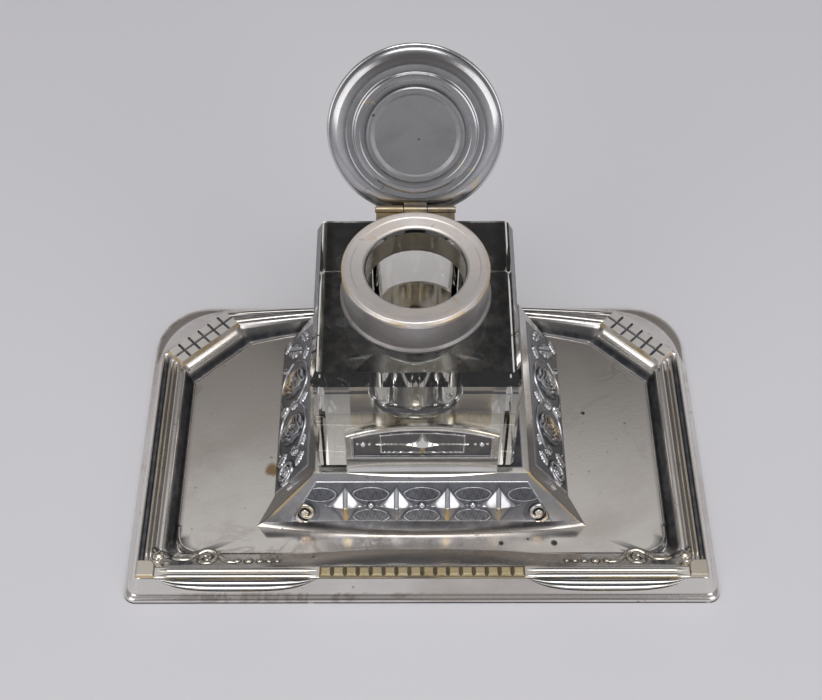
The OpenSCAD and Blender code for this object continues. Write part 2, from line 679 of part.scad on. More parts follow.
// Hinge behind the collar
hinge_off = collar_r + knuckle_r;
hinge_y = block_back + hinge_off;
hinge_z = collar_top - knuckle_r + 0.1;
leaf_t = 1;
leaf_h = 9.5;
leaf_half = 9;
module barrel_room(half) {
    rotate([0, 90, 0]) translate([0, 0, -half]) cylinder(r = knuckle_r + gap, h = 2 * half);
}
module knuckle(from, to) {
    rotate([0, 90, 0]) translate([0, 0, from]) cylinder(r = knuckle_r, h = to - from);
}
module pin_bore() {
    rotate([0, 90, 0]) translate([0, 0, -barrel_len]) cylinder(r = pin_r + pin_gap, h = 2 * barrel_len);
}
module hinge_leaf() {
    side = lid_knuckle_len / 2 + gap / 2;
    color(silver) at_block(hinge_z) difference() {
        union() {
            for (s = [0, 1]) mirror([s, 0, 0]) translate([0, hinge_off, 0]) knuckle(side, barrel_len / 2);
            intersection() {
                translate([0, 0, -leaf_h]) cylinder(r = collar_r + leaf_t, h = leaf_h);
                translate([-leaf_half, 0, -leaf_h]) cube([2 * leaf_half, collar_r + leaf_t, leaf_h]);
            }
            // Saddle that fills the room between the round collar and the straight barrel
            translate([-barrel_len / 2, collar_r / 2, -knuckle_r])
                cube([barrel_len, hinge_off - collar_r / 2, knuckle_r]);
        }
        translate([0, 0, -collar_h]) cylinder(r = collar_r, h = 2 * collar_h);
        translate([0, hinge_off, 0]) {
            pin_bore();
            rotate([0, 90, 0]) translate([0, 0, -side]) cylinder(r = knuckle_r + gap, h = 2 * side);
        }
    }
}
module hinge_pin() {
    head = 0.4;
    color(silver) translate([block_right, hinge_y, hinge_z]) rotate([0, 90, 0]) {
        translate([0, 0, -barrel_len / 2]) cylinder(r = pin_r, h = barrel_len);
        for (s = [-1, 1]) translate([0, 0, s * (barrel_len / 2 + head / 2)])
            cylinder(r = pin_r + 0.4, h = head, center = true);
    }
}

// Lid, drawn closed in the hinge's own frame and turned open about the pin
seat_z = collar_top + 0.2 - hinge_z;
module lid_place() {
    translate([block_right, hinge_y, hinge_z]) rotate([-lid_open, 0, 0])
        translate([0, -hinge_off, seat_z]) children();
}
rim_bead = 0.8;
pan_flat_r = seat_r + 3.2;
lid_sheet = 0.8;
disc_r = mouth_r - disc_gap;
flare_r = lid_r - rim_bead - pan_flat_r;
module lid_pan() {
    // Seat ring, flat and hollow flare up to the rolled rim
    n = 10;
    rise_to = lid_rim_rise - seat_h;
    flare = [for (i = [0:n]) let (w = 90 * i / n)
        [pan_flat_r + flare_r * sin(w), seat_h + rise_to * (1 - cos(w))]];
    color(silver) lid_place() rotate_extrude() polygon(concat(
        [[disc_r, 0], [seat_r - 0.3, 0], [seat_r, 0.3], [seat_r + 0.2, seat_h]],
        flare,
        [for (i = [n:-1:0]) flare[i] + [0, lid_sheet]],
        [[seat_r - 0.6, seat_h + lid_sheet], [seat_r - 1, lid_sheet], [disc_r, lid_sheet]]));
}
module lid_disc() {
    r = disc_r;
    color(dark_silver) lid_place() rotate_extrude() polygon([[0, 0.5 - disc_drop], [r - 2.4, 0.5 - disc_drop],
        [r - 1.6, -disc_drop], [r - 0.4, -disc_drop], [r, 0.4 - disc_drop], [r, lid_sheet],
        [0, lid_sheet]]);
}
module lid_dome() {
    // Rolled rim and low stepped dome
    z0 = lid_rim_rise + lid_sheet;
    r0 = lid_r - rim_bead;
    n = 12;
    dome_out = [for (i = [0:n]) let (t = i / n)
        [r0 * 0.92 * (1 - t), z0 + 1.2 + (dome_h - 1.2) * sin(90 * t)]];
    color(silver) lid_place() rotate_extrude() difference() {
        union() {
            polygon(concat([[0, z0], [r0, z0], [r0, z0 + 0.7]], dome_out));
            translate([r0, lid_rim_rise + lid_sheet]) circle(rim_bead, $fn = 24);
        }
        polygon(concat([[0, z0 - 0.1], [r0 * 0.92, z0 - 0.1]],
            [for (p = dome_out) [p[0], p[1] - lid_sheet]]));
        translate([0, -lid_r]) square([r0, lid_r + z0]);
    }
}
module lid_knuckle() {
    tab = lid_knuckle_len;
    tab_top = seat_h + 0.3;
    color(silver) translate([block_right, hinge_y, hinge_z]) rotate([-lid_open, 0, 0]) difference() {
        union() {
            knuckle(gap / 2 - tab / 2, tab / 2 - gap / 2);
            translate([gap / 2 - tab / 2, -knuckle_r / 2, 0])
                cube([tab - gap, knuckle_r * 1.5, seat_z + lid_rim_rise]);
        }
        pin_bore();
        translate([0, -hinge_off, seat_z]) rotate_extrude() polygon(concat(
            [[0, tab_top - 0.3], [pan_flat_r, seat_h]],
            [for (i = [1:10]) let (w = 9 * i) [pan_flat_r + flare_r * sin(w),
                seat_h + (lid_rim_rise - seat_h) * (1 - cos(w))]],
            [[lid_r + 5, lid_rim_rise], [lid_r + 5, 20], [0, 20]]));
    }
}

tray();
mirror([1, 0, 0]) reeding();  // left_reeding
reeding();  // right_reeding
rear_moulding();
mirror([1, 0, 0]) corner_block();  // left_corner_block
corner_block();  // right_corner_block
mirror([1, 0, 0]) corner_pad();  // left_corner_pad
corner_pad();  // right_corner_pad
front_bead_strip();
mirror([1, 0, 0]) boat_moulding();  // left_boat_moulding
boat_moulding();  // right_boat_moulding
mirror([1, 0, 0]) scroll();  // left_scroll
scroll();  // right_scroll
plinth();
star_band();
mirror([1, 0, 0]) rose_band();  // left_rose_band
rose_band();  // right_rose_band
gallery();  // front_gallery
rear_copy() gallery();  // rear_gallery
glass_block();
collar();
collar_cement();
hinge_leaf();
hinge_pin();
lid_pan();
lid_disc();
lid_dome();
lid_knuckle();
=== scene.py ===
import math
import bpy
import numpy as np
from mathutils import Matrix, Vector


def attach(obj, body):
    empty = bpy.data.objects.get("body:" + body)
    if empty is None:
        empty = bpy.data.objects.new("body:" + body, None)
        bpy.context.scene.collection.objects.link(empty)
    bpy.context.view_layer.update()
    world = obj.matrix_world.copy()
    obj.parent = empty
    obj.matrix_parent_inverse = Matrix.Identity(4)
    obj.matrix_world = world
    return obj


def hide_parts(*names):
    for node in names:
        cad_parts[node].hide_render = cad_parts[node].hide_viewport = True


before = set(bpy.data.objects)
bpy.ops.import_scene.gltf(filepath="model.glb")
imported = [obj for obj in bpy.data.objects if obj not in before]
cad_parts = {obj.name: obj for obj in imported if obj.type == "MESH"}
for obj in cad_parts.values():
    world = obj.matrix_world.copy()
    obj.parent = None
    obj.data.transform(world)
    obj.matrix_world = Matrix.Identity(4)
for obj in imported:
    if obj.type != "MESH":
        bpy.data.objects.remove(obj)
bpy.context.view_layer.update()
mm = 0.001
print("frame loaded")

# camera, at the photograph's viewing angle
cameraPlace = {
    "at": (-5.2233, -279.0253, 438.2018),
    "pitchDown": 53.495,
    "yaw": 0.2819,
    "roll": 0.1559,
    "lens": 59.73,
}


def addCamera(place):
    pitch, yaw, roll = (math.radians(place[k]) for k in ("pitchDown", "yaw", "roll"))
    forward = Vector((math.sin(yaw) * math.cos(pitch), math.cos(yaw) * math.cos(pitch), -math.sin(pitch)))
    right = forward.cross(Vector((0, 0, 1))).normalized()
    up = right.cross(forward)
    rightTurned = right * math.cos(roll) + up * math.sin(roll)
    upTurned = -right * math.sin(roll) + up * math.cos(roll)
    camera = bpy.data.objects.new("photoCamera", bpy.data.cameras.new("photoCamera"))
    bpy.context.scene.collection.objects.link(camera)
    turn = Matrix((rightTurned, upTurned, -forward)).transposed().to_4x4()
    camera.matrix_world = Matrix.Translation(Vector(place["at"]) * mm) @ turn
    camera.data.lens = place["lens"]
    camera.data.sensor_width = 36
    camera.data.clip_start = 0.01
    bpy.context.scene.camera = camera


addCamera(cameraPlace)


# mesh helpers: points in millimetres; two masks say where the metal is darkened, by patina in its hollows
# and by painted shade, and where it is rubbed to brass
def makePiece(name, shell, material, body, nodes, sharpAngle, patinaAndShade=None, worn=None):
    points, faces = shell
    mesh = bpy.data.meshes.new(name)
    mesh.from_pydata((np.asarray(points, float).reshape(-1, 3) * mm).tolist(), [], faces)
    for label, values in (("patinaAndShade", patinaAndShade), ("worn", worn)):
        if values is not None:
            full = np.zeros(len(mesh.vertices), np.float32)
            values = np.asarray(values, np.float32).ravel()
            full[:len(values)] = values
            mesh.attributes.new(label, "FLOAT", "POINT").data.foreach_set("value", full)
    mesh.validate()
    mesh.shade_smooth()
    mesh.set_sharp_from_angle(angle=math.radians(sharpAngle))
    piece = bpy.data.objects.new(name, mesh)
    bpy.context.scene.collection.objects.link(piece)
    mesh.materials.append(material)
    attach(piece, body)
    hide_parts(*nodes)


def joinShells(shells):
    points, faces, start = [], [], 0
    for shellPoints, shellFaces in shells:
        shellPoints = np.asarray(shellPoints, float).reshape(-1, 3)
        points.append(shellPoints)
        faces += [[i + start for i in f] for f in shellFaces]
        start += len(shellPoints)
    return np.concatenate(points), faces


def ringShell(rings, closeEnds=True, loopRings=False):
    # rings: count x around x 3; faces look outwards when the rings climb and each turns left
    rings = np.asarray(rings, float)
    count, around = rings.shape[:2]
    k = np.arange(count if loopRings else count - 1)[:, None]
    i = np.arange(around)[None, :]
    j = (i + 1) % around
    n = (k + 1) % count
    quads = np.stack([k * around + i, k * around + j, n * around + j, n * around + i], -1)
    quads = quads.reshape(-1, 4).tolist()
    points = rings.reshape(-1, 3)
    if closeEnds and not loopRings:
        points = np.concatenate([points, [rings[0].mean(0), rings[-1].mean(0)]])
        last = (count - 1) * around
        a, b = count * around, count * around + 1
        quads += [[a, (i + 1) % around, i] for i in range(around)]
        quads += [[b, last + i, last + (i + 1) % around] for i in range(around)]
    return points, quads


def slabShell(top, base):
    # a relief grid over a flat underside, fanned from its middle
    top, base = np.asarray(top, float), np.asarray(base, float)
    rows, cols = top.shape[:2]
    index = np.arange(rows * cols).reshape(rows, cols)
    faces = np.stack([index[:-1, :-1], index[1:, :-1], index[1:, 1:], index[:-1, 1:]], -1)
    faces = faces.reshape(-1, 4).tolist()
    rim = np.concatenate([index[0, :-1], index[:-1, -1], index[-1, :0:-1], index[:0:-1, 0]])
    rimBase = base.reshape(-1, 3)[rim]
    start, count = rows * cols, len(rim)
    points = np.concatenate([top.reshape(-1, 3), rimBase, [rimBase.mean(0)]])
    for i in range(count):
        j = (i + 1) % count
        faces.append([int(rim[i]), int(rim[j]), start + j, start + i])
        faces.append([start + i, start + j, start + count])
    return points, faces


def latheShell(profile, closed=True):
    # profile: radius and height pairs, round a closed section or from axis to axis
    segments = 256
    turn = np.linspace(0, 2 * np.pi, segments, endpoint=False)
    rings = [np.stack([r * np.cos(turn), r * np.sin(turn), np.full_like(turn, z)], 1) for r, z in profile]
    return ringShell(np.stack(rings), closeEnds=not closed, loopRings=closed)


def rounded(corners, radius, steps=5, closed=True):
    # rounds the corners of a section; a corner may bring a radius of its own
    out = []
    count = len(corners)
    for i, corner in enumerate(corners):
        p = np.array(corner[:2], float)
        r = corner[2] if len(corner) > 2 else radius
        if r <= 0 or (not closed and i in (0, count - 1)):
            out.append(p)
            continue
        a = np.array(corners[i - 1][:2], float) - p
        b = np.array(corners[(i + 1) % count][:2], float) - p
        la, lb = np.hypot(*a), np.hypot(*b)
        angle = math.acos(max(-1, min(1, float(a @ b) / (la * lb))))
        if angle > math.radians(176):
            out.append(p)
            continue
        reach = min(r / math.tan(angle / 2), la * 0.45, lb * 0.45)
        start, end = p + a / la * reach, p + b / lb * reach
        for t in np.linspace(0, 1, steps + 1):
            out.append((1 - t) ** 2 * start + 2 * t * (1 - t) * p + t * t * end)
    return np.array(out)


def sweepShell(path, section, scale):
    # sweeps a closed section (sideways, up) along a path, upright
    path, section = np.asarray(path, float), np.asarray(section, float)
    along = np.gradient(path, axis=0)
    along /= np.linalg.norm(along, axis=1)[:, None]
    side = np.cross(along, [0.0, 0, 1])
    side /= np.linalg.norm(side, axis=1)[:, None]
    up = np.cross(side, along)
    rings = path[:, None] + scale[:, None, None] * (
        side[:, None] * section[None, :, 0, None] + up[:, None] * section[None, :, 1, None])
    return ringShell(rings[:, ::-1])


def beadShell(at, radius, normal, squash=.7):
    sides = 24
    turn = np.linspace(0, 2 * np.pi, sides, endpoint=False)
    rings = []
    for climb in np.radians([-25, -5, 15, 35, 55, 72, 85]):
        flat = radius * math.cos(climb)
        rings.append(np.stack([flat * np.cos(turn), flat * np.sin(turn),
            np.full(sides, radius * squash * math.sin(climb))], 1))
    points, faces = ringShell(np.stack(rings))
    turnTo = Vector((0, 0, 1)).rotation_difference(Vector(normal)).to_matrix()
    return points @ np.array(turnTo).T + np.array(at), faces


def smooth(x, low, high):
    t = np.clip((x - low) / (high - low), 0, 1)
    return t * t * (3 - 2 * t)


def evenly(points, count, ends=True):
    points = np.asarray(points, float)
    length = np.concatenate([[0], np.cumsum(np.linalg.norm(np.diff(points, axis=0), axis=1))])
    at = np.linspace(0, length[-1], count, endpoint=ends)
    return np.stack([np.interp(at, length, points[:, k]) for k in range(points.shape[1])], 1)


def spline(points, count):
    # even points along a Catmull-Rom curve
    p = np.asarray(points, float)
    q = np.concatenate([[2 * p[0] - p[1]], p, [2 * p[-1] - p[-2]]])
    out = []
    for i in range(len(q) - 3):
        t = np.linspace(0, 1, 24, endpoint=False)[:, None]
        a, b, c, d = q[i:i + 4]
        bend = (2 * a - 5 * b + 4 * c - d) * t ** 2 + (3 * b - a - 3 * c + d) * t ** 3
        out.append(0.5 * (2 * b + (c - a) * t + bend))
    out.append(q[-2][None])
    return evenly(np.concatenate(out), count)


def bow(x, half, rise):
    r = (half * half + rise * rise) / (2 * rise)
    return np.sqrt(np.maximum(r * r - np.asarray(x, float) ** 2, 0)) - (r - rise)


def ridge(distance, width):
    # a round ridge: 1 on the line, 0 at its width
    return np.sqrt(np.clip(1 - (distance / width) ** 2, 0, 1))


def nearest(x, y, path):
    best = np.full(np.shape(x), 99.0)
    for px, py in path:
        best = np.minimum(best, np.hypot(x - px, y - py))
    return best


def mirrored(shell):
    points, faces = shell
    return np.asarray(points, float) * np.array([-1, 1, 1]), [f[::-1] for f in faces]


def handed(shell, sign):
    return shell if sign > 0 else mirrored(shell)


def flipped(shell):
    return shell[0], [f[::-1] for f in shell[1]]


def level(loop, height):
    return np.concatenate([loop, np.full((len(loop), 1), height)], 1)


# material groups
class NodeTree:
    def __init__(self, tree):
        self.tree = tree

    def add(self, kind, **values):
        node = self.tree.nodes.new(kind if kind.startswith("Node") else "ShaderNode" + kind)
        for key, value in values.items():
            setattr(node, key, value)
        return node

    def link(self, source, target):
        self.tree.links.new(source, target)

    def feed(self, socket, value):
        if isinstance(value, bpy.types.NodeSocket):
            self.link(value, socket)
        else:
            socket.default_value = value

    def math(self, operation, a, b=0.0, clamp=False):
        node = self.add("Math", operation=operation, use_clamp=clamp)
        self.feed(node.inputs[0], a)
        self.feed(node.inputs[1], b)
        return node.outputs[0]

    def mix(self, factor, a, b):
        node = self.add("Mix", data_type="RGBA", blend_type="MIX")
        self.feed(node.inputs[0], factor)
        self.feed(node.inputs[6], a)
        self.feed(node.inputs[7], b)
        return node.outputs[2]

    def ramp(self, value, low, high, outLow=0.0, outHigh=1.0):
        node = self.add("MapRange", clamp=True, interpolation_type="SMOOTHSTEP")
        for socket, v in zip(node.inputs, (value, low, high, outLow, outHigh)):
            self.feed(socket, v)
        return node.outputs[0]

    def noise(self, scale, detail, rough=0.55, shift=(0, 0, 0), distortion=0.0):
        mapping = self.add("Mapping")
        mapping.inputs["Location"].default_value = shift
        self.link(self.add("TexCoord").outputs["Object"], mapping.inputs["Vector"])
        node = self.add("TexNoise")
        self.link(mapping.outputs[0], node.inputs["Vector"])
        self.feed(node.inputs["Scale"], scale)
        node.inputs["Detail"].default_value = detail
        node.inputs["Roughness"].default_value = rough
        node.inputs["Distortion"].default_value = distortion
        return node.outputs["Fac"]

    def group(self, shaderGroup, values):
        node = self.add("Group", node_tree=shaderGroup)
        for label, value in values.items():
            node.inputs[label].default_value = value
        return node

    def bump(self, height, strength):
        node = self.add("Bump")
        node.inputs["Strength"].default_value = strength
        node.inputs["Distance"].default_value = 0.0004
        self.link(height, node.inputs["Height"])
        return node.outputs[0]

    def attribute(self, name):
        return self.add("Attribute", attribute_name=name).outputs["Fac"]


def makeGroup(name, inputs, outputs):
    group = bpy.data.node_groups.new(name, "ShaderNodeTree")
    for label, kind, value in inputs:
        group.interface.new_socket(name=label, in_out="INPUT", socket_type=kind).default_value = value
    for label, kind in outputs:
        group.interface.new_socket(name=label, in_out="OUTPUT", socket_type=kind)
    tree = NodeTree(group)
    tree.inside = tree.add("NodeGroupInput").outputs
    tree.outside = tree.add("NodeGroupOutput").inputs
    return group, tree


def makeWearAndShadeMasks():
    group, t = makeGroup("wearAndShadeMasks", [
        ("Amount", "NodeSocketFloat", 0.5),
        ("Low", "NodeSocketFloat", 0.53),
        ("High", "NodeSocketFloat", 0.62),
        ("Patch Scale", "NodeSocketFloat", 90.0)],
        [("Worn", "NodeSocketFloat"), ("Patina And Shade", "NodeSocketFloat")])
    point = t.add("NewGeometry").outputs["Pointiness"]
    edge = t.ramp(point, t.inside["Low"], t.inside["High"])
    patch = t.ramp(t.noise(t.inside["Patch Scale"], 3.0, 0.6), 0.36, 0.6)
    rubbed = t.math("MULTIPLY", edge, t.inside["Amount"], True)
    rubbed = t.math("MAXIMUM", rubbed, t.attribute("worn"))
    t.link(t.math("MULTIPLY", rubbed, patch), t.outside["Worn"])
    # darkening: patina in concave hollows, plus the per-vertex mask, which also carries painted shade
    dark = t.math("MAXIMUM", t.ramp(point, 0.47, 0.40), t.attribute("patinaAndShade"))
    cloud = t.ramp(t.noise(260.0, 3.0, 0.6, shift=(4, 7, 1)), 0.3, 0.65, 0.9, 1.0)
    t.link(t.math("MULTIPLY", dark, cloud, True), t.outside["Patina And Shade"])
    return group


def makeTarnish():
    group, t = makeGroup("tarnishFilm", [
        ("Base", "NodeSocketColor", (0.7, 0.69, 0.67, 1)),
        ("Film", "NodeSocketColor", (0.42, 0.38, 0.34, 1)),
        ("Amount", "NodeSocketFloat", 0.4),
        ("Scale", "NodeSocketFloat", 26.0),
        ("Spots", "NodeSocketFloat", 0.4),
        ("Veins", "NodeSocketFloat", 0.0)],
        [("Color", "NodeSocketColor"), ("Roughness Add", "NodeSocketFloat"), ("Height", "NodeSocketFloat")])
    broad = t.noise(t.inside["Scale"], 5.0, 0.6, distortion=0.6)
    film = t.math("MULTIPLY", t.ramp(broad, 0.42, 0.72), t.inside["Amount"], True)
    fine = t.noise(900.0, 2.0, 0.5, shift=(3, 1, 2))
    speckle = t.ramp(t.noise(330.0, 2.0, 0.45, shift=(5, 2, 9)), 0.70, 0.76)
    spots = t.math("MULTIPLY", speckle, t.inside["Spots"], True)
    tide = t.noise(30.0, 5.0, 0.62, shift=(8, 3, 5), distortion=0.8)
    vein = t.ramp(t.math("ABSOLUTE", t.math("SUBTRACT", tide, 0.53)), 0.045, 0.0)
    vein = t.math("MULTIPLY", vein, t.ramp(t.noise(13.0, 2.0, 0.5, shift=(1, 9, 4)), 0.44, 0.62))
    parts = t.add("SeparateXYZ")
    t.link(t.add("TexCoord").outputs["Object"], parts.inputs[0])
    vein = t.math("MULTIPLY", vein, t.ramp(parts.outputs["Z"], 0.0036, 0.0033))
    vein = t.math("MULTIPLY", vein, t.inside["Veins"], True)
    color = t.mix(film, t.inside["Base"], t.inside["Film"])
    color = t.mix(vein, color, (0.40, 0.33, 0.29, 1))
    color = t.mix(spots, color, (0.08, 0.075, 0.07, 1))
    t.link(color, t.outside["Color"])
    rough = t.math("ADD", t.math("MULTIPLY", film, 0.16), t.math("MULTIPLY", spots, 0.3))
    t.link(rough, t.outside["Roughness Add"])
    height = t.math("ADD", t.math("MULTIPLY", fine, 0.35), t.math("MULTIPLY", broad, 0.65))
    t.link(height, t.outside["Height"])
    return group


wearAndShadeMasks = makeWearAndShadeMasks()
tarnishFilm = makeTarnish()


def newMaterial(name):
    material = bpy.data.materials.new(name)
    material.use_nodes = True
    return material, NodeTree(material.node_tree), material.node_tree.nodes["Principled BSDF"]


plainMetal = {
    "tarnish": 0.5,
    "tarnishScale": 26.0,
    "spots": 0.3,
    "veins": 0.0,
    "wearLow": 0.53,
    "wearHigh": 0.62,
    "wearPatch": 90.0,
    # dark colour for patina in hollows and for painted shade
    "patinaAndShade": (0.055, 0.06, 0.075),
    "patinaAndShadeAmount": 0.97,
    "brass": (0.76, 0.57, 0.27),
    "bump": 0.05,
    "stains": (),
}


def metalMaterial(name, own):
    look = {**plainMetal, **own}
    material, t, shader = newMaterial(name)
    wear = t.group(wearAndShadeMasks, {
        "Amount": look["wear"],
        "Low": look["wearLow"],
        "High": look["wearHigh"],
        "Patch Scale": look["wearPatch"]})
    film = t.group(tarnishFilm, {
        "Base": (*look["base"], 1),
        "Film": (*look["film"], 1),
        "Amount": look["tarnish"],
        "Scale": look["tarnishScale"],
        "Spots": look["spots"],
        "Veins": look["veins"]})
    # mix in the dark colour: patina in hollows and painted shade
    dark = t.math("MULTIPLY", wear.outputs["Patina And Shade"], look["patinaAndShadeAmount"], True)
    color = t.mix(dark, film.outputs["Color"], (*look["patinaAndShade"], 1))
    for place, radius, tint in look["stains"]:
        away = t.add("VectorMath", operation="DISTANCE")
        t.link(t.add("TexCoord").outputs["Object"], away.inputs[0])
        away.inputs[1].default_value = [v * mm for v in place]
        ragged = t.math("MULTIPLY", t.noise(200.0, 3.0), radius * mm * 0.9)
        ragged = t.math("ADD", away.outputs["Value"], ragged)
        color = t.mix(t.ramp(ragged, radius * mm * 1.5, radius * mm * 0.9), color, (*tint, 1))
    color = t.mix(wear.outputs["Worn"], color, (*look["brass"], 1))
    t.link(color, shader.inputs["Base Color"])
    rough = t.math("ADD", film.outputs["Roughness Add"], t.math("MULTIPLY", dark, 0.2))
    t.link(t.math("ADD", rough, look["rough"], True), shader.inputs["Roughness"])
    shader.inputs["Metallic"].default_value = 1.0
    t.link(t.bump(film.outputs["Height"], look["bump"]), shader.inputs["Normal"])
    return material


silverTray = metalMaterial("silverTray", {
    "base": (0.80, 0.77, 0.74),
    "film": (0.55, 0.49, 0.45),
    "tarnish": 0.75,
    "tarnishScale": 12.0,
    "rough": 0.17,
    "wear": 0.3,
    "spots": 0.6,
    "veins": 0.55,
    "stains": (
        ((-55.6, -12.6, 3.2), 3.2, (0.36, 0.25, 0.14)),
        ((62.3, 12.7, 3.2), 0.9, (0.10, 0.09, 0.08)),
        ((47.7, -43.4, 3.2), 1.5, (0.07, 0.07, 0.07)),
        ((28.5, -43.4, 3.2), 1.3, (0.08, 0.08, 0.08)),
        ((38.2, -41.8, 3.2), 0.6, (0.10, 0.09, 0.08)),
    )})
silverPlate = metalMaterial("silverPlate", {
    "base": (0.80, 0.79, 0.77),
    "film": (0.56, 0.52, 0.49),
    "rough": 0.14,
    "wear": 0.55})
silverRim = metalMaterial("silverRim", {
    "base": (0.74, 0.70, 0.63),
    "film": (0.52, 0.44, 0.33),
    "tarnish": 0.6,
    "rough": 0.2,
    "wear": 0.6})
silverDark = metalMaterial("silverDark", {
    "base": (0.66, 0.67, 0.70),
    "film": (0.42, 0.39, 0.38),
    "rough": 0.18,
    "wear": 0.3,
    "patinaAndShade": (0.075, 0.08, 0.095),
    "patinaAndShadeAmount": 1.0})
tileSilver = metalMaterial("tileSilver", {
    "base": (0.97, 0.94, 0.92),
    "film": (0.84, 0.76, 0.68),
    "tarnish": 0.4,
    "tarnishScale": 60.0,
    "rough": 0.38,
    "wear": 0.3})
beadBrass = metalMaterial("beadBrass", {
    "base": (0.62, 0.53, 0.34),
    "film": (0.36, 0.27, 0.13),
    "tarnish": 0.9,
    "tarnishScale": 110.0,
    "rough": 0.28,
    "wear": 0.9,
    "wearLow": 0.51,
    "wearHigh": 0.57})
collarSilver = metalMaterial("collarSilver", {
    "base": (0.93, 0.89, 0.87),
    "film": (0.68, 0.56, 0.47),
    "tarnishScale": 55.0,
    "rough": 0.38,
    "wear": 0.6})
lidSilver = metalMaterial("lidSilver", {
    "base": (0.66, 0.66, 0.67),
    "film": (0.40, 0.37, 0.38),
    "rough": 0.12,
    "wear": 0.4})
lidDiscMetal = metalMaterial("lidDiscMetal", {
    "base": (0.36, 0.36, 0.37),
    "film": (0.25, 0.24, 0.235),
    "tarnish": 0.6,
    "tarnishScale": 60.0,
    "rough": 0.36,
    "wear": 0.1,
    "spots": 0.9})
hingeSilver = metalMaterial("hingeSilver", {
    "base": (0.21, 0.205, 0.20),
    "film": (0.13, 0.11, 0.10),
    "tarnish": 0.8,
    "tarnishScale": 90.0,
    "rough": 0.3,
    "wear": 0.3})
hingeBrass = metalMaterial("hingeBrass", {
    "base": (0.26, 0.24, 0.21),
    "film": (0.16, 0.13, 0.10),
    "tarnish": 0.8,
    "tarnishScale": 200.0,
    "rough": 0.35,
    "wear": 0.1})


def glassMaterial():
    material, t, shader = newMaterial("clearGlass")
    tint = t.mix(t.ramp(t.noise(70.0, 4.0, 0.6), 0.35, 0.75), (0.93, 0.92, 0.88, 1), (0.89, 0.87, 0.80, 1))
    t.link(tint, shader.inputs["Base Color"])
    t.link(t.ramp(t.noise(240.0, 3.0, 0.5), 0.4, 0.8, 0.0, 0.05), shader.inputs["Roughness"])
    shader.inputs["Transmission Weight"].default_value = 1.0
    shader.inputs["IOR"].default_value = 1.52
    return material


def cementMaterial():
    material, t, shader = newMaterial("cementPlaster")
    grain = t.noise(500.0, 5.0, 0.6)
    t.link(t.mix(grain, (0.50, 0.45, 0.38, 1), (0.36, 0.31, 0.25, 1)), shader.inputs["Base Color"])
    t.link(t.ramp(grain, 0.2, 0.8, 0.75, 0.95), shader.inputs["Roughness"])
    t.link(t.bump(grain, 1.0), shader.inputs["Normal"])
    return material


clearGlass = glassMaterial()
cementPlaster = cementMaterial()
print("materials made")

# tray: outline loops and rim sections, as in the part's source
tray = {
    "halfWidth": 105,
    "halfDepth": 65.5,
    "rimHeight": 8.6,
    "floorHeight": 3.2,
    "frontLean": 5.4,
    "sideLean": 4.4,
    "rearLean": 4.5,
    "sideRim": 17.5,
    "frontRim": 18.0,
    "rearRim": 19.8,
    "rearArch": 9.5,
    "frontArch": 2.0,
    "cantLength": 27.7,
    "cantAngle": 43.5,
    "cantRim": 16.6,
    "frontRadius": 4.0,
    "rearRadius": 20.0,
    "counts": (230, 20, 110, 60, 90),
    "stations": 120,
    "underFloor": 2.2,
    "underRim": ((.95, 2.2, 2.2), (.90, 2.4, 2.9), (.80, 3.4, 3.6), (.68, 6.4, 4.75), (.40, 6.7, 7.0),
        (.10, 7.0, 7.0)),
    "underSkirt": ((.54, 2.4), (.24, .6), (.24, 0), (.05, 0)),
}
rimX = tray["halfWidth"] - tray["sideLean"]
rimY = tray["halfDepth"] - tray["frontLean"]
rimRear = tray["halfDepth"] - tray["rearLean"]
floorX = tray["halfWidth"] - tray["sideRim"]
floorFront = tray["halfDepth"] - tray["frontRim"]
cantTurn = math.radians(tray["cantAngle"])
cantOut = np.array([math.sin(cantTurn), math.cos(cantTurn)])
cantAlong = np.array([-math.cos(cantTurn), math.sin(cantTurn)])
floorRear = tray["halfDepth"] - tray["rearRim"]
floorCantB = np.array([floorX - tray["cantLength"] * math.cos(cantTurn), floorRear])
floorCantA = np.array([floorX, floorCantB[1] - tray["cantLength"] * math.sin(cantTurn)])
rimCantB = floorCantB + tray["cantRim"] * cantOut
rimCantA = floorCantA + tray["cantRim"] * cantOut
rimCantA = rimCantA + (rimCantA[0] - rimX) / math.cos(cantTurn) * cantAlong


def arcPoints(center, radius, start, end, count=12):
    turn = np.radians(np.linspace(start, end, count))
    return [(center[0] + radius * math.cos(a), center[1] + radius * math.sin(a)) for a in turn]


def bowPoints(end, rise):
    x = np.linspace(end[0], 0, 60)
    return np.stack([x, end[1] + bow(x, end[0], rise)], 1)


def halfLoop(stretches):
    parts = [evenly(s, n, ends=False) for s, n in zip(stretches, tray["counts"])]
    half = np.concatenate(parts + [np.asarray(stretches[-1], float)[-1:]])
    half[0, 0] = half[-1, 0] = 0
    return np.concatenate([half, half[-2:0:-1] * np.array([-1, 1])])


def baseOutline():
    hx, hy, front, rear = (tray[k] for k in ("halfWidth", "halfDepth", "frontRadius", "rearRadius"))
    sideEnd = (hx, rimCantA[1] - 2)
    corner = arcPoints((hx - rear, hy - rear), rear, 0, 90, 32)
    return halfLoop([
        [(0, -hy), (hx - front, -hy)],
        arcPoints((hx - front, front - hy), front, -90, 0),
        [(hx, front - hy), sideEnd],
        [sideEnd] + corner + [(rimCantB[0], hy)],
        [(rimCantB[0], hy), (0, hy)]])


def rimOutline():
    return halfLoop([
        [(0, -rimY), (rimX - 2, -rimY)],
        arcPoints((rimX - 2, 2 - rimY), 2, -90, 0),
        [(rimX, 2 - rimY), rimCantA],
        [rimCantA, rimCantB],
        bowPoints(rimCantB, rimRear - rimCantB[1])])


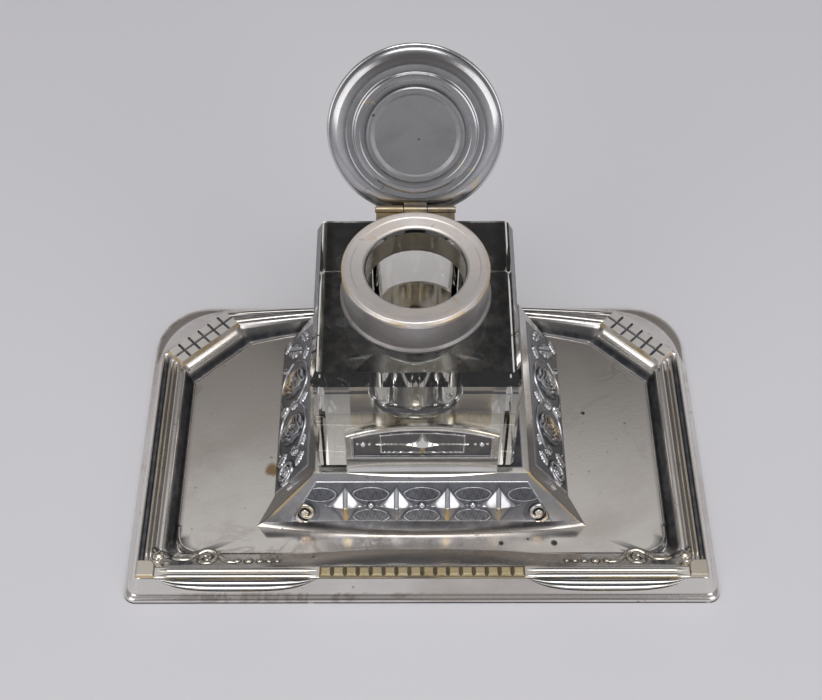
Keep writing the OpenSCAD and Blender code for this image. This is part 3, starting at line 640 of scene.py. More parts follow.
def floorOutline():
    x = np.linspace(0, floorX - 5, 60)
    arch = tray["frontArch"] * np.clip(1 - (x / ((floorX - 5) / 2)) ** 2, 0, 1)
    return halfLoop([
        np.stack([x, arch - floorFront], 1),
        arcPoints((floorX - 5, 5 - floorFront), 5, -90, 0),
        [(floorX, 5 - floorFront), floorCantA],
        [floorCantA, floorCantB],
        bowPoints(floorCantB, tray["rearArch"])])


baseLoop, rimLoop, floorLoop = baseOutline(), rimOutline(), floorOutline()

# rim sections: width, then distance in from the rim's edge, height and darkness
sideSection = (13.1, [
    (0, 8.25, 0), (.3, 8.58, 0), (.6, 8.5, .1), (.8, 8.0, .8), (1.1, 7.6, 1), (2.1, 7.5, 1), (2.55, 7.9, .9),
    (2.8, 8.2, .4), (3.95, 8.2, .4), (4.15, 7.85, 1), (4.4, 8.2, .4), (5.4, 8.2, .4), (5.65, 7.9, 1),
    (5.95, 8.2, .4), (6.4, 8.75, 0), (7.0, 9.15, 0), (7.8, 9.35, 0), (8.6, 9.3, 0), (9.2, 9.05, 0),
    (9.6, 8.7, .1), (9.8, 8.2, .9), (10.3, 7.2, 1), (10.8, 6.1, 1), (11.3, 5.0, 1), (11.8, 4.0, 1),
    (12.1, 3.5, 1), (12.3, 3.35, 1), (12.42, 3.5, .7), (12.55, 4.0, 0), (12.7, 4.1, 0), (12.85, 3.95, 0),
    (13.1, 3.2, .4)])
rearSection = (10.8, [
    (0, 8.25, 0), (.3, 8.58, 0), (1.6, 8.6, 0), (1.9, 8.1, .9), (2.3, 7.8, 1), (2.8, 8.0, .9),
    (3.1, 8.8, .2), (3.5, 9.15, 0), (4.2, 9.25, 0), (4.8, 9.1, 0), (5.2, 8.6, .3), (5.5, 8.35, .5),
    (6.0, 8.2, .5), (7.0, 7.5, .6), (8.0, 6.2, .8), (8.9, 4.7, 1), (9.5, 3.8, 1), (9.8, 3.45, 1),
    (10.0, 3.35, 1), (10.12, 3.5, .7), (10.28, 4.0, 0), (10.42, 4.1, 0), (10.55, 3.95, 0), (10.8, 3.2, .4)])
cantSection = (16.6, [
    (0, 8.25, 0), (.3, 8.58, 0), (10.4, 8.6, 0), (11.0, 8.45, 0), (12.0, 8.0, 0), (13.0, 7.35, 0),
    (13.6, 6.8, .2), (13.9, 6.2, .8), (14.3, 5.2, 1), (14.9, 4.2, 1), (15.4, 3.6, 1), (15.8, 3.35, 1),
    (15.92, 3.5, .7), (16.08, 4.0, 0), (16.22, 4.1, 0), (16.35, 3.95, 0), (16.6, 3.2, .4)])
frontSection = (12.6, [
    (0, 8.25, 0), (.3, 8.58, 0), (4.4, 8.6, 0), (4.7, 8.5, 0), (5.0, 8.25, .2), (5.2, 8.2, .2),
    (12.0, 3.45, 0), (12.3, 3.27, 0), (12.6, 3.2, 0)])
skirtSection = [
    (0, .25), (.03, .06), (.03, 1.3), (.08, 1.75), (.20, 2.2), (.32, 2.45), (.355, 2.6), (.40, 2.85),
    (.50, 3.7), (.60, 4.6), (.70, 5.5), (.80, 6.45), (.90, 7.35), (.97, 8.0), (1.0, 8.25)]

# scrolls at the front corners, drawn for the left one
scroll = {
    "strip": ((-94.9, -48.6), (-92.4, -50.3), (-89.4, -50.2), (-85.6, -51.0), (-82.6, -50.6), (-80.2, -47.9),
        (-77.0, -46.2), (-73.9, -47.0), (-71.3, -50.1), (-69.0, -52.2), (-65.9, -52.9)),
    "tip": ((-87.6, -37.0), (-87.3, -41.0), (-86.1, -43.6), (-84.2, -45.2), (-81.4, -46.5)),
    "volute": (-76.6, -50.5, 3.75, 1.6),
    "beads": ((65.4, 1.25), (61.3, 1.5), (57.4, 1.2), (54.1, 1.05), (51.2, .85)),
    "beadRow": -52.1,
    "shades": ((-84.6, -52.9, 2.0), (-82.0, -53.0, 1.7), (-85.4, -45.4, 2.2), (-83.4, -46.6, 1.5)),
}


def coilPath():
    cx, cy, radius, turns = scroll["volute"]
    t = np.linspace(0, 1, 120)
    angle = math.radians(60) - 2 * np.pi * turns * t
    r = radius + (.5 - radius) * t ** .9
    return np.stack([cx + r * np.cos(angle), cy + r * np.sin(angle)], 1)


def scrollDarkness(x, y):
    lines = [spline(scroll["strip"], 90), coilPath()[::2], spline(scroll["tip"], 40)]
    away = np.minimum.reduce([nearest(x, y, line) for line in lines])
    dark = .95 * (1 - smooth(away, .95, 1.35))
    for bx, r in scroll["beads"]:
        dark = np.maximum(dark, .95 * (1 - smooth(np.hypot(x + bx, y - scroll["beadRow"]) - r, .1, .7)))
    for sx, sy, r in scroll["shades"]:
        dark = np.maximum(dark, .85 * (1 - smooth(np.hypot(x - sx, y - sy), r * .5, r)))
    return dark


def readSection(section, at, column):
    width, rows = section
    rows = np.array(rows, float)
    raw = np.interp(at, rows[:, 0] / width, rows[:, column])
    for _ in range(2):
        raw[1:-1] = 0.25 * raw[:-2] + 0.5 * raw[1:-1] + 0.25 * raw[2:]
    return raw


def kindShares():
    # how far each point of a loop follows the front, side, cut-corner and rear sections
    front, corner, side, cant = tray["counts"][:4]
    i = np.arange(sum(tray["counts"]) + 1)
    toSide = smooth(i, front + 3, front + corner - 2)
    toCant = smooth(i, front + corner + side - 3, front + corner + side + 4)
    toRear = smooth(i, front + corner + side + cant - 4, front + corner + side + cant + 3)
    shares = np.stack([1 - toSide, toSide * (1 - toCant), toCant * (1 - toRear), toRear], 1)
    return np.concatenate([shares, shares[-2:0:-1]])


def makeTray():
    shares = kindShares()
    at = np.linspace(0, 1, tray["stations"])
    sections = (frontSection, sideSection, cantSection, rearSection)
    heights = shares @ np.stack([readSection(s, at, 1) for s in sections])
    darks = shares @ np.stack([readSection(s, at, 2) for s in sections])
    floorHeight = tray["floorHeight"]
    skirt = [level(baseLoop + (rimLoop - baseLoop) * t, z) for t, z in skirtSection]
    rim = []
    for k, t in enumerate(at):
        rim.append(np.concatenate([rimLoop + (floorLoop - rimLoop) * t, heights[:, k:k + 1]], 1))
    center = floorLoop.mean(0)
    floorRings = [level(center + (floorLoop - center) * s, floorHeight) for s in (.985, .95, .85, .6, .3)]
    under = [level(center + (floorLoop - center) * s, tray["underFloor"]) for s in (.6, 1)]
    for t, zSide, zFront in tray["underRim"]:
        z = shares[:, :1] * zFront + (1 - shares[:, :1]) * zSide
        under.append(np.concatenate([rimLoop + (floorLoop - rimLoop) * t, z], 1))
    under += [level(baseLoop + (rimLoop - baseLoop) * t, z) for t, z in tray["underSkirt"]]
    rings = np.stack(under + skirt + rim[1:] + floorRings)
    dark = np.zeros(rings.shape[:2])
    first = len(under) + len(skirt)
    dark[first:first + len(rim) - 1] = darks[:, 1:].T
    x, y, z = -np.abs(rings[..., 0]), rings[..., 1], rings[..., 2]
    near = (x < -48) & (y < -35) & (z > 3) & (np.arange(len(rings))[:, None] >= len(under))
    dark[near] = np.maximum(dark[near], scrollDarkness(x[near], y[near]))
    makePiece("trayPan", ringShell(rings), silverTray, "stand", ["tray"], 35, patinaAndShade=dark)


makeTray()
print("tray made")

# rim ornament
reeds = {"inward": (3.35, 4.9), "width": (1.1, .95), "from": -52.2, "to": 31.5}


def makeReeds(sign, name, node):
    shells = []
    turn = np.linspace(0, np.pi, 13)
    for inward, width in zip(reeds["inward"], reeds["width"]):
        y = np.linspace(reeds["from"], reeds["to"], 90)
        end = np.minimum(y - y[0], y[-1] - y)
        taper = np.sqrt(np.clip(end / 2.2, 0, 1)) * 0.92 + 0.08
        path = np.stack([np.full_like(y, rimX - inward), y, np.full_like(y, 8.2)], 1)
        arch = np.stack([width / 2 * np.cos(turn), .85 * np.sin(turn)], 1)
        shells.append(sweepShell(path, np.concatenate([arch, [(-width / 2, -.3), (width / 2, -.3)]]), taper))
    shell = joinShells(shells)
    makePiece(name, handed(shell, sign), silverRim, "stand", [node], 60)


rearBead = {"reach": 74.0, "inward": 1.05, "taper": 1.5}


def makeRearMoulding():
    x = np.linspace(-rearBead["reach"], rearBead["reach"], 220)
    half, rise = rimCantB[0], rimRear - rimCantB[1]
    r = (half ** 2 + rise ** 2) / (2 * rise)
    slope = -x / np.sqrt(r * r - x * x)
    out = np.stack([-slope, np.ones_like(slope)], 1) / np.hypot(slope, 1)[:, None]
    line = np.stack([x, rimCantB[1] + bow(x, half, rise)], 1) - rearBead["inward"] * out
    section = rounded([(-.6, -.3), (.6, -.3), (.6, .55), (-.6, .55)], .3)
    taper = np.sqrt(np.clip((rearBead["reach"] - np.abs(x)) / rearBead["taper"], 0.02, 1))
    shell = sweepShell(level(line, tray["rimHeight"]), section, taper)
    makePiece("rearMoulding", shell, silverPlate, "stand", ["rear_moulding"], 60)


def tileDepth(x, y, long, wide, countX, countY):
    # distance in from the nearest groove's middle
    px, py = long / countX, wide / countY
    dx = px / 2 - np.abs((x + long / 2) % px - px / 2)
    dy = py / 2 - np.abs((y + wide / 2) % py - py / 2)
    return np.minimum(dx, dy)


block = {"length": 29.0, "width": 8.9, "height": 1.6, "tiles": 6, "rise": .8, "gap": .8}
blockOff = tray["cantRim"] * .37 + .2 + block["width"] / 2
blockMid = (floorCantA + floorCantB) / 2 + blockOff * cantOut


def makeBlock(sign, name, node):
    u = np.linspace(-block["length"] / 2, block["length"] / 2, 290)
    v = np.linspace(-block["width"] / 2, block["width"] / 2, 96)
    x, y = np.meshgrid(u, v, indexing="ij")
    depth = tileDepth(x, y, block["length"], block["width"], block["tiles"], 2) - block["gap"] / 2
    rim = np.minimum(block["length"] / 2 - np.abs(x), block["width"] / 2 - np.abs(y))
    lift = np.where(rim < .9, smooth(rim, .35, .55), smooth(depth, -.12, .2))
    z = block["height"] + block["rise"] * lift - .7 * (1 - smooth(rim, 0, .4))
    plan = blockMid - x[..., None] * cantAlong + y[..., None] * cantOut
    top = np.concatenate([plan, (tray["rimHeight"] + z)[..., None]], -1)
    base = np.concatenate([plan, np.full(x.shape + (1,), tray["rimHeight"] - .15)], -1)
    shell = slabShell(top, base)
    grooves = (1 - smooth(depth, -.1, .1)) * smooth(rim, .45, .7)
    edge = np.maximum(1 - smooth(rim, .3, .7), .8 * (y < -block["width"] / 2 + .5))
    makePiece(name, handed(shell, sign), tileSilver, "stand", [node], 50,
        patinaAndShade=grooves, worn=.9 * edge)


pad = {"side": 6.8, "round": 2.6, "inset": .3}


def makePad(sign, name, node):
    x1, y0 = rimX - pad["inset"], pad["inset"] - rimY
    x0, y1 = x1 - pad["side"], y0 + pad["side"]
    x, y = np.meshgrid(np.linspace(x0, x1, 64), np.linspace(y0, y1, 64), indexing="ij")
    turned = pad["round"]
    corner = turned - np.hypot(np.clip(x0 + turned - x, 0, None), np.clip(y - y1 + turned, 0, None))
    edge = np.minimum.reduce([x1 - x, y - y0, x - x0, y1 - y, np.maximum(corner, 0)])
    z = tray["rimHeight"] - .1 + 1.25 * smooth(edge, 0, .5)
    shell = slabShell(np.stack([x, y, z], -1), np.stack([x, y, np.full_like(x, tray["rimHeight"] - .2)], -1))
    worn = .9 * (1 - smooth(y - y0, .3, .7)) + .4 * (1 - smooth(x1 - x, .3, .7))
    makePiece(name, handed(shell, sign), silverRim, "stand", [node], 50, worn=worn)


strip = {"length": 72.0, "width": 4.26, "beads": 16, "gap": .75}


def makeBeadStrip():
    u = np.linspace(-strip["length"] / 2, strip["length"] / 2, 720)
    v = np.linspace(0, strip["width"], 48)
    x, y = np.meshgrid(u, v, indexing="ij")
    depth = tileDepth(x, y - strip["width"] / 2, strip["length"], strip["width"], strip["beads"], 1)
    rim = np.minimum(y, strip["width"] - y)
    z = .3 + .75 * smooth(depth - strip["gap"] / 2, -.2, .45) * smooth(rim, 0, .5)
    z = z + .15 * smooth(rim, 0, .15)
    y = y - rimY + .2
    shell = slabShell(np.stack([x, y, tray["rimHeight"] + z], -1),
        np.stack([x, y, np.full_like(x, tray["rimHeight"] - .15)], -1))
    grooves = 1 - smooth(depth - strip["gap"] / 2, -.2, .05)
    makePiece("beadStrip", shell, beadBrass, "stand", ["front_bead_strip"], 50,
        patinaAndShade=.95 * grooves)


# boat mouldings: two long strips on the rim and a lens of rolls on the skirt below
boat = {
    "from": 36.6,
    "to": 93.2,
    "drop": 5.0,
    "slope": (3.56, 6.0),
    "strips": ((-56.9, 1.6, .42), (-59.1, 1.7, .55)),
    "roll": ((0, .2, .9), (.03, .55, .1), (.08, .6, .1), (.105, .2, 1), (.185, .25, 1), (.22, .7, .3),
        (.30, 1.05, 0), (.38, .95, .2), (.42, .45, 1), (.53, .5, 1), (.58, .95, .3), (.66, 1.35, 0),
        (.73, 1.4, .1), (.79, 1.15, .9), (.84, .7, 1), (.90, .75, 1), (.93, 1.0, .1), (.965, 1.0, 0),
        (.985, .8, 0), (1, .1, .4)),
}


def makeBoat(sign, name, node):
    middle, half = (boat["from"] + boat["to"]) / 2, (boat["to"] - boat["from"]) / 2
    turn = np.linspace(0, np.pi, 11)
    shells, darks, worns = [], [], []
    for y, width, height in boat["strips"]:
        x = np.linspace(boat["from"] + .3, boat["to"] - .6, 100)
        end = np.minimum(x - x[0], x[-1] - x)
        arch = np.stack([width / 2 * np.cos(turn), height * np.sin(turn) ** .6], 1)
        section = np.concatenate([arch, [(-width / 2, -.3), (width / 2, -.3)]])
        shell = sweepShell(level(np.stack([x, np.full_like(x, y)], 1), tray["rimHeight"] - .02), section,
            .25 + .75 * smooth(end, 0, 4))
        shells.append(shell)
        side = np.abs(shell[0][:, 1] - y) / (width / 2)
        darks.append(.9 * smooth(side, .75, .95))
        worns.append(.5 * smooth(side, .4, .7) * (shell[0][:, 1] < y))
    u, t = np.meshgrid(np.linspace(-1, 1, 181), np.linspace(0, 1, 90), indexing="ij")
    envelope = 1 - np.abs(u) ** 3.5
    roll = np.array(boat["roll"])
    lift = np.interp(t, roll[:, 0], roll[:, 1]) * np.clip(envelope * 1.6, .12, 1) + .05
    outward, fall = boat["slope"]
    down = np.array([0, -outward, -fall]) / math.hypot(outward, fall)
    out = np.array([0, -fall, outward]) / math.hypot(outward, fall)
    at = np.zeros(u.shape + (3,))
    at[..., 0] = middle + u * half
    at[..., 1] = -rimY
    at[..., 2] = tray["rimHeight"]
    at += (t * boat["drop"] * np.maximum(envelope, .02))[..., None] * down
    shell = slabShell(at + lift[..., None] * out, at - .4 * out)
    shells.append(flipped(shell))
    dark = np.zeros(len(shell[0]))
    worn = np.zeros(len(shell[0]))
    dark[:u.size] = (.95 * np.interp(t, roll[:, 0], roll[:, 2])).ravel()
    worn[:u.size] = (smooth(t, .91, .935) * .95 + .35 * ((t > .02) & (t < .11))).ravel()
    shell = joinShells(shells)
    makePiece(name, handed(shell, sign), silverPlate, "stand", [node], 35,
        patinaAndShade=np.concatenate(darks + [dark]), worn=np.concatenate(worns + [worn]))


def onTray(points, lift=0.0):
    # heights of the tray's surface near its front corners
    points = np.asarray(points, float)
    front = np.interp(-points[:, 1], [47.5, 48.1, 54.9, 55.6], [3.2, 3.45, 8.2, 8.6])
    side = np.interp(np.abs(points[:, 0]), [87.5, 88.5, 89.7, 91.0, 92.0], [3.2, 3.6, 5.6, 7.4, 8.6])
    return np.concatenate([points, (np.maximum(front, side) + lift)[:, None]], 1)


def ribbonSection(width, height):
    turn = np.linspace(0, np.pi, 11)
    arch = np.stack([width / 2 * np.cos(turn), height * np.sin(turn) ** .7], 1)
    return np.concatenate([arch, [(-width / 2, -.4), (width / 2, -.4)]])


def makeScroll(sign, name, node):
    slopeNormal = np.array([0, .56, .83])
    path = spline(scroll["strip"], 130)
    ends = np.minimum(np.arange(130), np.arange(130)[::-1]) / 14
    shells = [sweepShell(onTray(path), ribbonSection(1.75, .6), np.clip(.35 + ends, 0, 1))]
    coil = coilPath()
    thin = .5 + .5 * np.minimum(1, np.linspace(3, 0, len(coil)))
    shells.append(sweepShell(onTray(coil), ribbonSection(1.5, .6), thin))
    tip = spline(scroll["tip"], 50)
    shells.append(sweepShell(onTray(tip), ribbonSection(.9, .7), np.linspace(1, .4, 50)))
    cx, cy = scroll["volute"][:2]
    shells.append(beadShell(onTray([(cx, cy)])[0], .8, slopeNormal))
    shells.append(beadShell((-92.9, -51.2, 8.3), 2.0, (0, 0, 1), .6))
    for x, r in scroll["beads"]:
        shells.append(beadShell(onTray([(-x, scroll["beadRow"])])[0], r, slopeNormal))
    shell = joinShells(shells)
    makePiece(name, handed(shell, -sign), silverRim, "stand", [node], 60)


for sign, side in ((1, "right"), (-1, "left")):
    makeReeds(sign, side + "Reeds", side + "_reeding")
    makeBlock(sign, side + "TileBlock", side + "_corner_block")
    makePad(sign, side + "Pad", side + "_corner_pad")
    makeBoat(sign, side + "Boat", side + "_boat_moulding")
    makeScroll(sign, side + "Scroll", side + "_scroll")
makeRearMoulding()
makeBeadStrip()
print("rim ornament made")

# plinth: a hollow stand with four sloping sides
plinth = {
    "topHalf": 37.7,
    "middleY": 8.8,
    "top": 27.6,
    "footHalf": 54.0,
    "tipHalf": 59.5,
    "frontRun": 9.0,
    "flare": 5.8,
    "edge": .05,
    "wall": 1.0,
    "heights": (3.15, 3.6, 4.2, 5.0, 5.8, 6.6, 7.4, 8.2, 8.7, 9.0, 9.3, 10, 12, 15, 18, 21, 24, 26,
        27.0, 27.4),
}
topFront = plinth["middleY"] - plinth["topHalf"]
topRear = plinth["middleY"] + plinth["topHalf"]
slopeFootZ = tray["floorHeight"] + plinth["flare"]
slopeFootY = topFront - plinth["frontRun"]
mitreFoot = np.array([plinth["tipHalf"] - 3, slopeFootY])
mitreTip = np.array([plinth["tipHalf"], slopeFootY + 1.5])


def plinthLoop(z):
    fall = (plinth["top"] - z) / (plinth["top"] - tray["floorHeight"])
    half = plinth["topHalf"]
    if z >= slopeFootZ:
        share = (plinth["top"] - z) / (plinth["top"] - slopeFootZ)
        corner = np.array([half, topFront]) * (1 - share) + mitreFoot * share
        middle = corner[1]
    else:
        share = (slopeFootZ - z) / plinth["flare"]
        corner = mitreFoot + (mitreTip - mitreFoot) * share
        middle = slopeFootY - 2.1 * math.sin(math.pi / 2 * share)
    footRear = min(topRear + 2.5, floorCantB[1] + float(bow(50, floorCantB[0], tray["rearArch"])) - .6)
    sideX = half + (plinth["footHalf"] - half) * fall
    rearX = half + (plinth["footHalf"] - 4 - half) * fall
    rearY = topRear + (footRear - topRear) * fall
    u = np.linspace(0, 1, 60)
    front = np.stack([u * corner[0], corner[1] + (middle - corner[1]) * (1 - u * u)], 1)
    sideStart, sideEnd = (sideX, topFront + 2 + 2.9 * fall), (sideX, topRear - 1 - 2 * fall)
    parts = [front, evenly([corner, sideStart], 8)[1:], evenly([sideStart, sideEnd], 30)[1:],
        evenly([sideEnd, (rearX, rearY)], 6)[1:], evenly([(rearX, rearY), (0, rearY)], 30)[1:]]
    loop = np.concatenate(parts)
    return level(np.concatenate([loop, loop[-2:0:-1] * np.array([-1, 1])]), z)


def makePlinth():
    crown = plinth["top"] - plinth["edge"]
    outer = [plinthLoop(z) for z in plinth["heights"] + (crown,)]
    center = np.array([0, plinth["middleY"], plinth["top"]])
    ends = [center + (outer[-1] - center) * np.array([s, s, 0]) for s in (.992, .945, .93, .5)]
    inner = [center + (loop - center) * np.array([.965, .965, 1]) for loop in outer[::-1]]
    for loop in inner:
        loop[:, 2] = np.minimum(loop[:, 2], plinth["top"] - plinth["wall"])
    rings = np.stack(inner + outer + ends)
    dark = np.zeros(rings.shape[:2])
    # painted shadow on the plinth's top under the glass block
    dark[-2:] = 1
    worn = np.zeros(rings.shape[:2])
    x, y, z = np.abs(rings[..., 0]), rings[..., 1], rings[..., 2]
    share = np.clip((plinth["top"] - z) / (plinth["top"] - slopeFootZ), 0, 1)
    mitreX = plinth["topHalf"] + (mitreFoot[0] - plinth["topHalf"]) * share
    mitreY = topFront + (mitreFoot[1] - topFront) * share
    onMitre = 1 - smooth(np.hypot(x - mitreX, y - mitreY), .4, 1.2)
    worn[len(inner):] = onMitre[len(inner):] * (z[len(inner):] > slopeFootZ - .5)
    # painted shade and reflection on the front face: the flare darker towards its top, the slope above
    # darker towards the bottom and on the left
    frontFace = (y < topFront + .2) & (y < mitreY + .6)
    low = 1 - smooth(z, slopeFootZ + .2, slopeFootZ + 9)
    left = np.where(rings[..., 0] < 0, .65, .2)
    shade = np.where(z < slopeFootZ + .2, .95 * smooth(z, 4.4, 6.4), .6 + .5 * left * low)
    dark[len(inner):-4] = np.where(frontFace, shade, .2)[len(inner):-4]
    makePiece("plinthShell", ringShell(rings), silverPlate, "stand", ["plinth"], 30,
        patinaAndShade=dark, worn=worn)


makePlinth()


# relief bands on the plinth's slopes
def placeField(x, y, z, origin, right, up):
    right, up = np.array(right, float), np.array(up, float)
    normal = np.cross(right, up)
    return np.array(origin) + x[..., None] * right + y[..., None] * up + z[..., None] * normal


def voluteField(x, y, radius, turns, width, start, hand):
    r = np.hypot(x, y)
    angle = np.mod(math.radians(start) - hand * np.arctan2(y, x), 2 * np.pi)
    best = np.full(x.shape, 9.0)
    for k in range(int(math.ceil(turns)) + 1):
        t = (angle + 2 * np.pi * k) / (2 * np.pi * turns)
        line = radius + (width * .5 - radius) * t
        best = np.where(t <= 1, np.minimum(best, np.abs(r - line)), best)
    return ridge(np.minimum(best, np.clip(r - width * .5, 0, 9)), width)


stars = {
    "pitch": 18.1,
    "reach": 7.6,
    "rise": 7.4,
    "height": 2.3,
    "row": -13.2,
    "topHalf": 37.4,
    "bottomHalf": 47.1,
    "top": -3.3,
    "bottom": -20.36,
    "volute": (41.3, -16.2, 4.2, 1.6, .85),
}
frontTilt = math.atan2(plinth["top"] - slopeFootZ, plinth["frontRun"])


def starHeights(x, y):
    rows = y - stars["row"]
    pitted = .05 * np.sin(x * 5.1 + 1.7 * np.sin(y * 3.3)) * np.sin(y * 4.7 + 1.3 * np.sin(x * 2.9))
    z = .35 + .3 * pitted
    dark = np.full(x.shape, .78)
    for k, lens, up in [(k, 6.3, 4.6) for k in (-1, 0, 1)] + [(k, 5.6, 4.4) for k in (-2, 2)]:
        dx = x - k * stars["pitch"]
        for s in ((-1, 1) if abs(k) < 2 else (1,)):
            eye = np.hypot(dx / lens, (rows - s * up) / 2.8)
            z = np.where(eye < 1, z - .25 * smooth(1 - eye, 0, .12) + pitted, z)
            z = np.maximum(z, .2 + .42 * ridge((eye - 1) * 3.4, .3))
            dark = np.where(eye < .93, .86 + pitted * 3, dark)
            dark = np.where(np.abs(eye - 1) < .05, .3, dark)
            dark = np.where(np.abs(eye - 1.12) < .05, .95, dark)
        if abs(k) < 2:
            bead = np.hypot(dx, rows)
            z = np.maximum(z, .2 + 1.5 * ridge(bead, 1.35))
            dark = np.where(bead < 1.25, 0, np.where(bead < 1.8, .9, dark))
    worn = np.zeros(x.shape)
    for k in (-1.5, -.5, .5, 1.5):
        u, v = np.abs(x - k * stars["pitch"]) / stars["reach"], np.abs(rows) / stars["rise"]
        outline = (1 - np.clip(u, 0, 1)) ** 1.75
        inside = 1 - v / np.maximum(outline, .02)
        crest = stars["height"] * (.22 + .78 * (1 - np.clip(u, 0, 1)) ** .9)
        spine = .45 * ridge(u * stars["reach"], .75) * np.clip(1 - v, 0, 1)
        body = crest * np.clip(inside, 0, 1) + spine * (inside > 0)
        z = np.where((inside > -.25) & (u < 1.05), np.minimum(z, .3), z)
        z = np.where((inside > 0) & (u < 1), np.maximum(z, .42 + body), z)
        dark = np.where((inside > -.3) & (inside <= 0) & (u < 1.05), .85, dark)
        dark = np.where((inside > 0) & (u < 1), 0, dark)
        # painted shade: the stars' lower facets darker than their upper facets
        shadedLowerFacets = (inside > 0) & (u < 1) & (rows < -.2)
        dark = np.where(shadedLowerFacets, .45, dark)
        spineBand = (inside > 0) & (u * stars["reach"] < .9)
        worn = np.where(spineBand & (rows < .4), .95, worn)
        # painted reflection: the upper part of each star's spine darker
        dark = np.where(spineBand & (rows >= .4), .6, dark)
    cx, cy, radius, turns, width = stars["volute"]
    for s in (-1, 1):
        dx, dy = x * s - cx, y - cy
        r = np.hypot(dx, dy)
        coil = voluteField(dx, dy, radius, turns, width, 100, -1) * (r < radius + width)
        z = np.where(r < radius + width, .25 + 1.2 * coil, z)
        dark = np.where(r < radius + width, .9 - .9 * smooth(coil, .35, .75), dark)
        worn = np.where(r < radius + width, .55 * smooth(coil, .5, .8), worn)
    sideHalf = np.interp(y, [stars["bottom"], stars["top"]], [stars["bottomHalf"], stars["topHalf"]])
    edge = np.minimum.reduce([stars["top"] - y, y - stars["bottom"], sideHalf - np.abs(x)])
    return z * smooth(edge, -.02, .5) + .02, dark * smooth(edge, 0, .8), worn


def makeStarBand():
    v = np.linspace(stars["bottom"], stars["top"], 170)
    half = np.interp(v, [stars["bottom"], stars["top"]], [stars["bottomHalf"], stars["topHalf"]])
    x = np.linspace(-1, 1, 860)[:, None] * half[None, :]
    y = np.broadcast_to(v[None, :], x.shape)
    z, dark, worn = starHeights(x, y)
    origin = (0, topFront, plinth["top"])
    up = (0, math.cos(frontTilt), math.sin(frontTilt))
    top = placeField(x, y, z, origin, (1, 0, 0), up)
    base = placeField(x, y, np.full_like(z, -.3), origin, (1, 0, 0), up)
    makePiece("starRelief", slabShell(top, base), silverDark, "stand", ["star_band"], 32,
        patinaAndShade=dark, worn=worn)


roses = {
    "from": -23.2,
    "to": 42.0,
    "low": .8,
    "high": 24.3,
    "at": ((20.0, 11.2), (-1.5, 12.0)),
    "along": 6.0,
    "across": 7.6,
    "volute": (-18.4, 8.4, 4.3, 2.2, .75),
}
roseLeaves = (
    ((35.5, 10.5), -62, 14, 6.4), ((38.2, 18.0), -35, 8, 4.2), ((29.6, 19.6), 35, 7, 3.4),
    ((30.0, 4.0), -60, 6, 3), ((10.2, 5.2), 78, 7.5, 4.0), ((9.4, 12.4), 98, 8, 4.2),
    ((8.8, 19.4), 62, 7, 3.4), ((-11.6, 5.6), 62, 8, 4.8), ((-11.8, 14.4), 108, 7.5, 4.2),
    ((-17.2, 18.6), 58, 8, 3.6), ((-10.4, 21.0), 20, 6, 2.8), ((40.0, 5.0), 60, 6, 3))
roseStems = (
    ((-14, 15), (-9.5, 18.5), (-4, 21.4), (2, 21.2), (6.5, 18), (9.5, 13.5)),
    ((9.5, 13.5), (12.4, 18.2), (17, 21.0), (22.5, 20.6), (27, 17.2), (29.5, 12.5)),
    ((-8.6, 3.4), (-4.5, 2.4), (1.5, 2.6), (6.5, 4.4), (9.6, 8.6)),
    ((12, 3.6), (17, 1.9), (23, 2.4), (27.5, 5.2), (30, 9.5)))


def roseField(dx, dy):
    # overlapping petals in rings round the heart, in an oval
    p, q = dx / roses["along"], dy / roses["across"]
    r, a = np.hypot(p, q), np.arctan2(q, p)
    dome = 1.7 * np.sqrt(np.clip(1 - r ** 2, 0, 1))
    layer = 3.4 * r + .34 * np.sin(3 * a + 5 * r) + .16 * np.sin(5 * a - 7 * r)
    step = layer - np.floor(layer)
    z = dome + .5 * smooth(step, 0, .8) * (1 - smooth(step, .86, 1)) * (r < 1)
    dark = np.where(step > .84, .95, .1 + .5 * (1 - smooth(step, .05, .5)))
    return np.where(r < 1, z, 0), np.where(r > .96, .9, dark), r


def leafField(x, y, at, turn, long, wide):
    c, s = math.cos(math.radians(turn)), math.sin(math.radians(turn))
    dx, dy = x - at[0], y - at[1]
    u, v = (dx * c + dy * s) / (long / 2), (-dx * s + dy * c) / (wide / 2)
    edge = (1 - u * u) * (1 + .15 * np.sin(u * 15)) - np.abs(v)
    body = smooth(edge, 0, .45) * (.7 + .3 * np.abs(v))
    vein = ridge(v * wide / 2, .25) * (edge > 0)
    rib = .12 * np.sin(u * long * 1.6 + np.abs(v) * 3) * (edge > .1)
    return (1.05 + rib) * body - .35 * vein * body, edge, vein


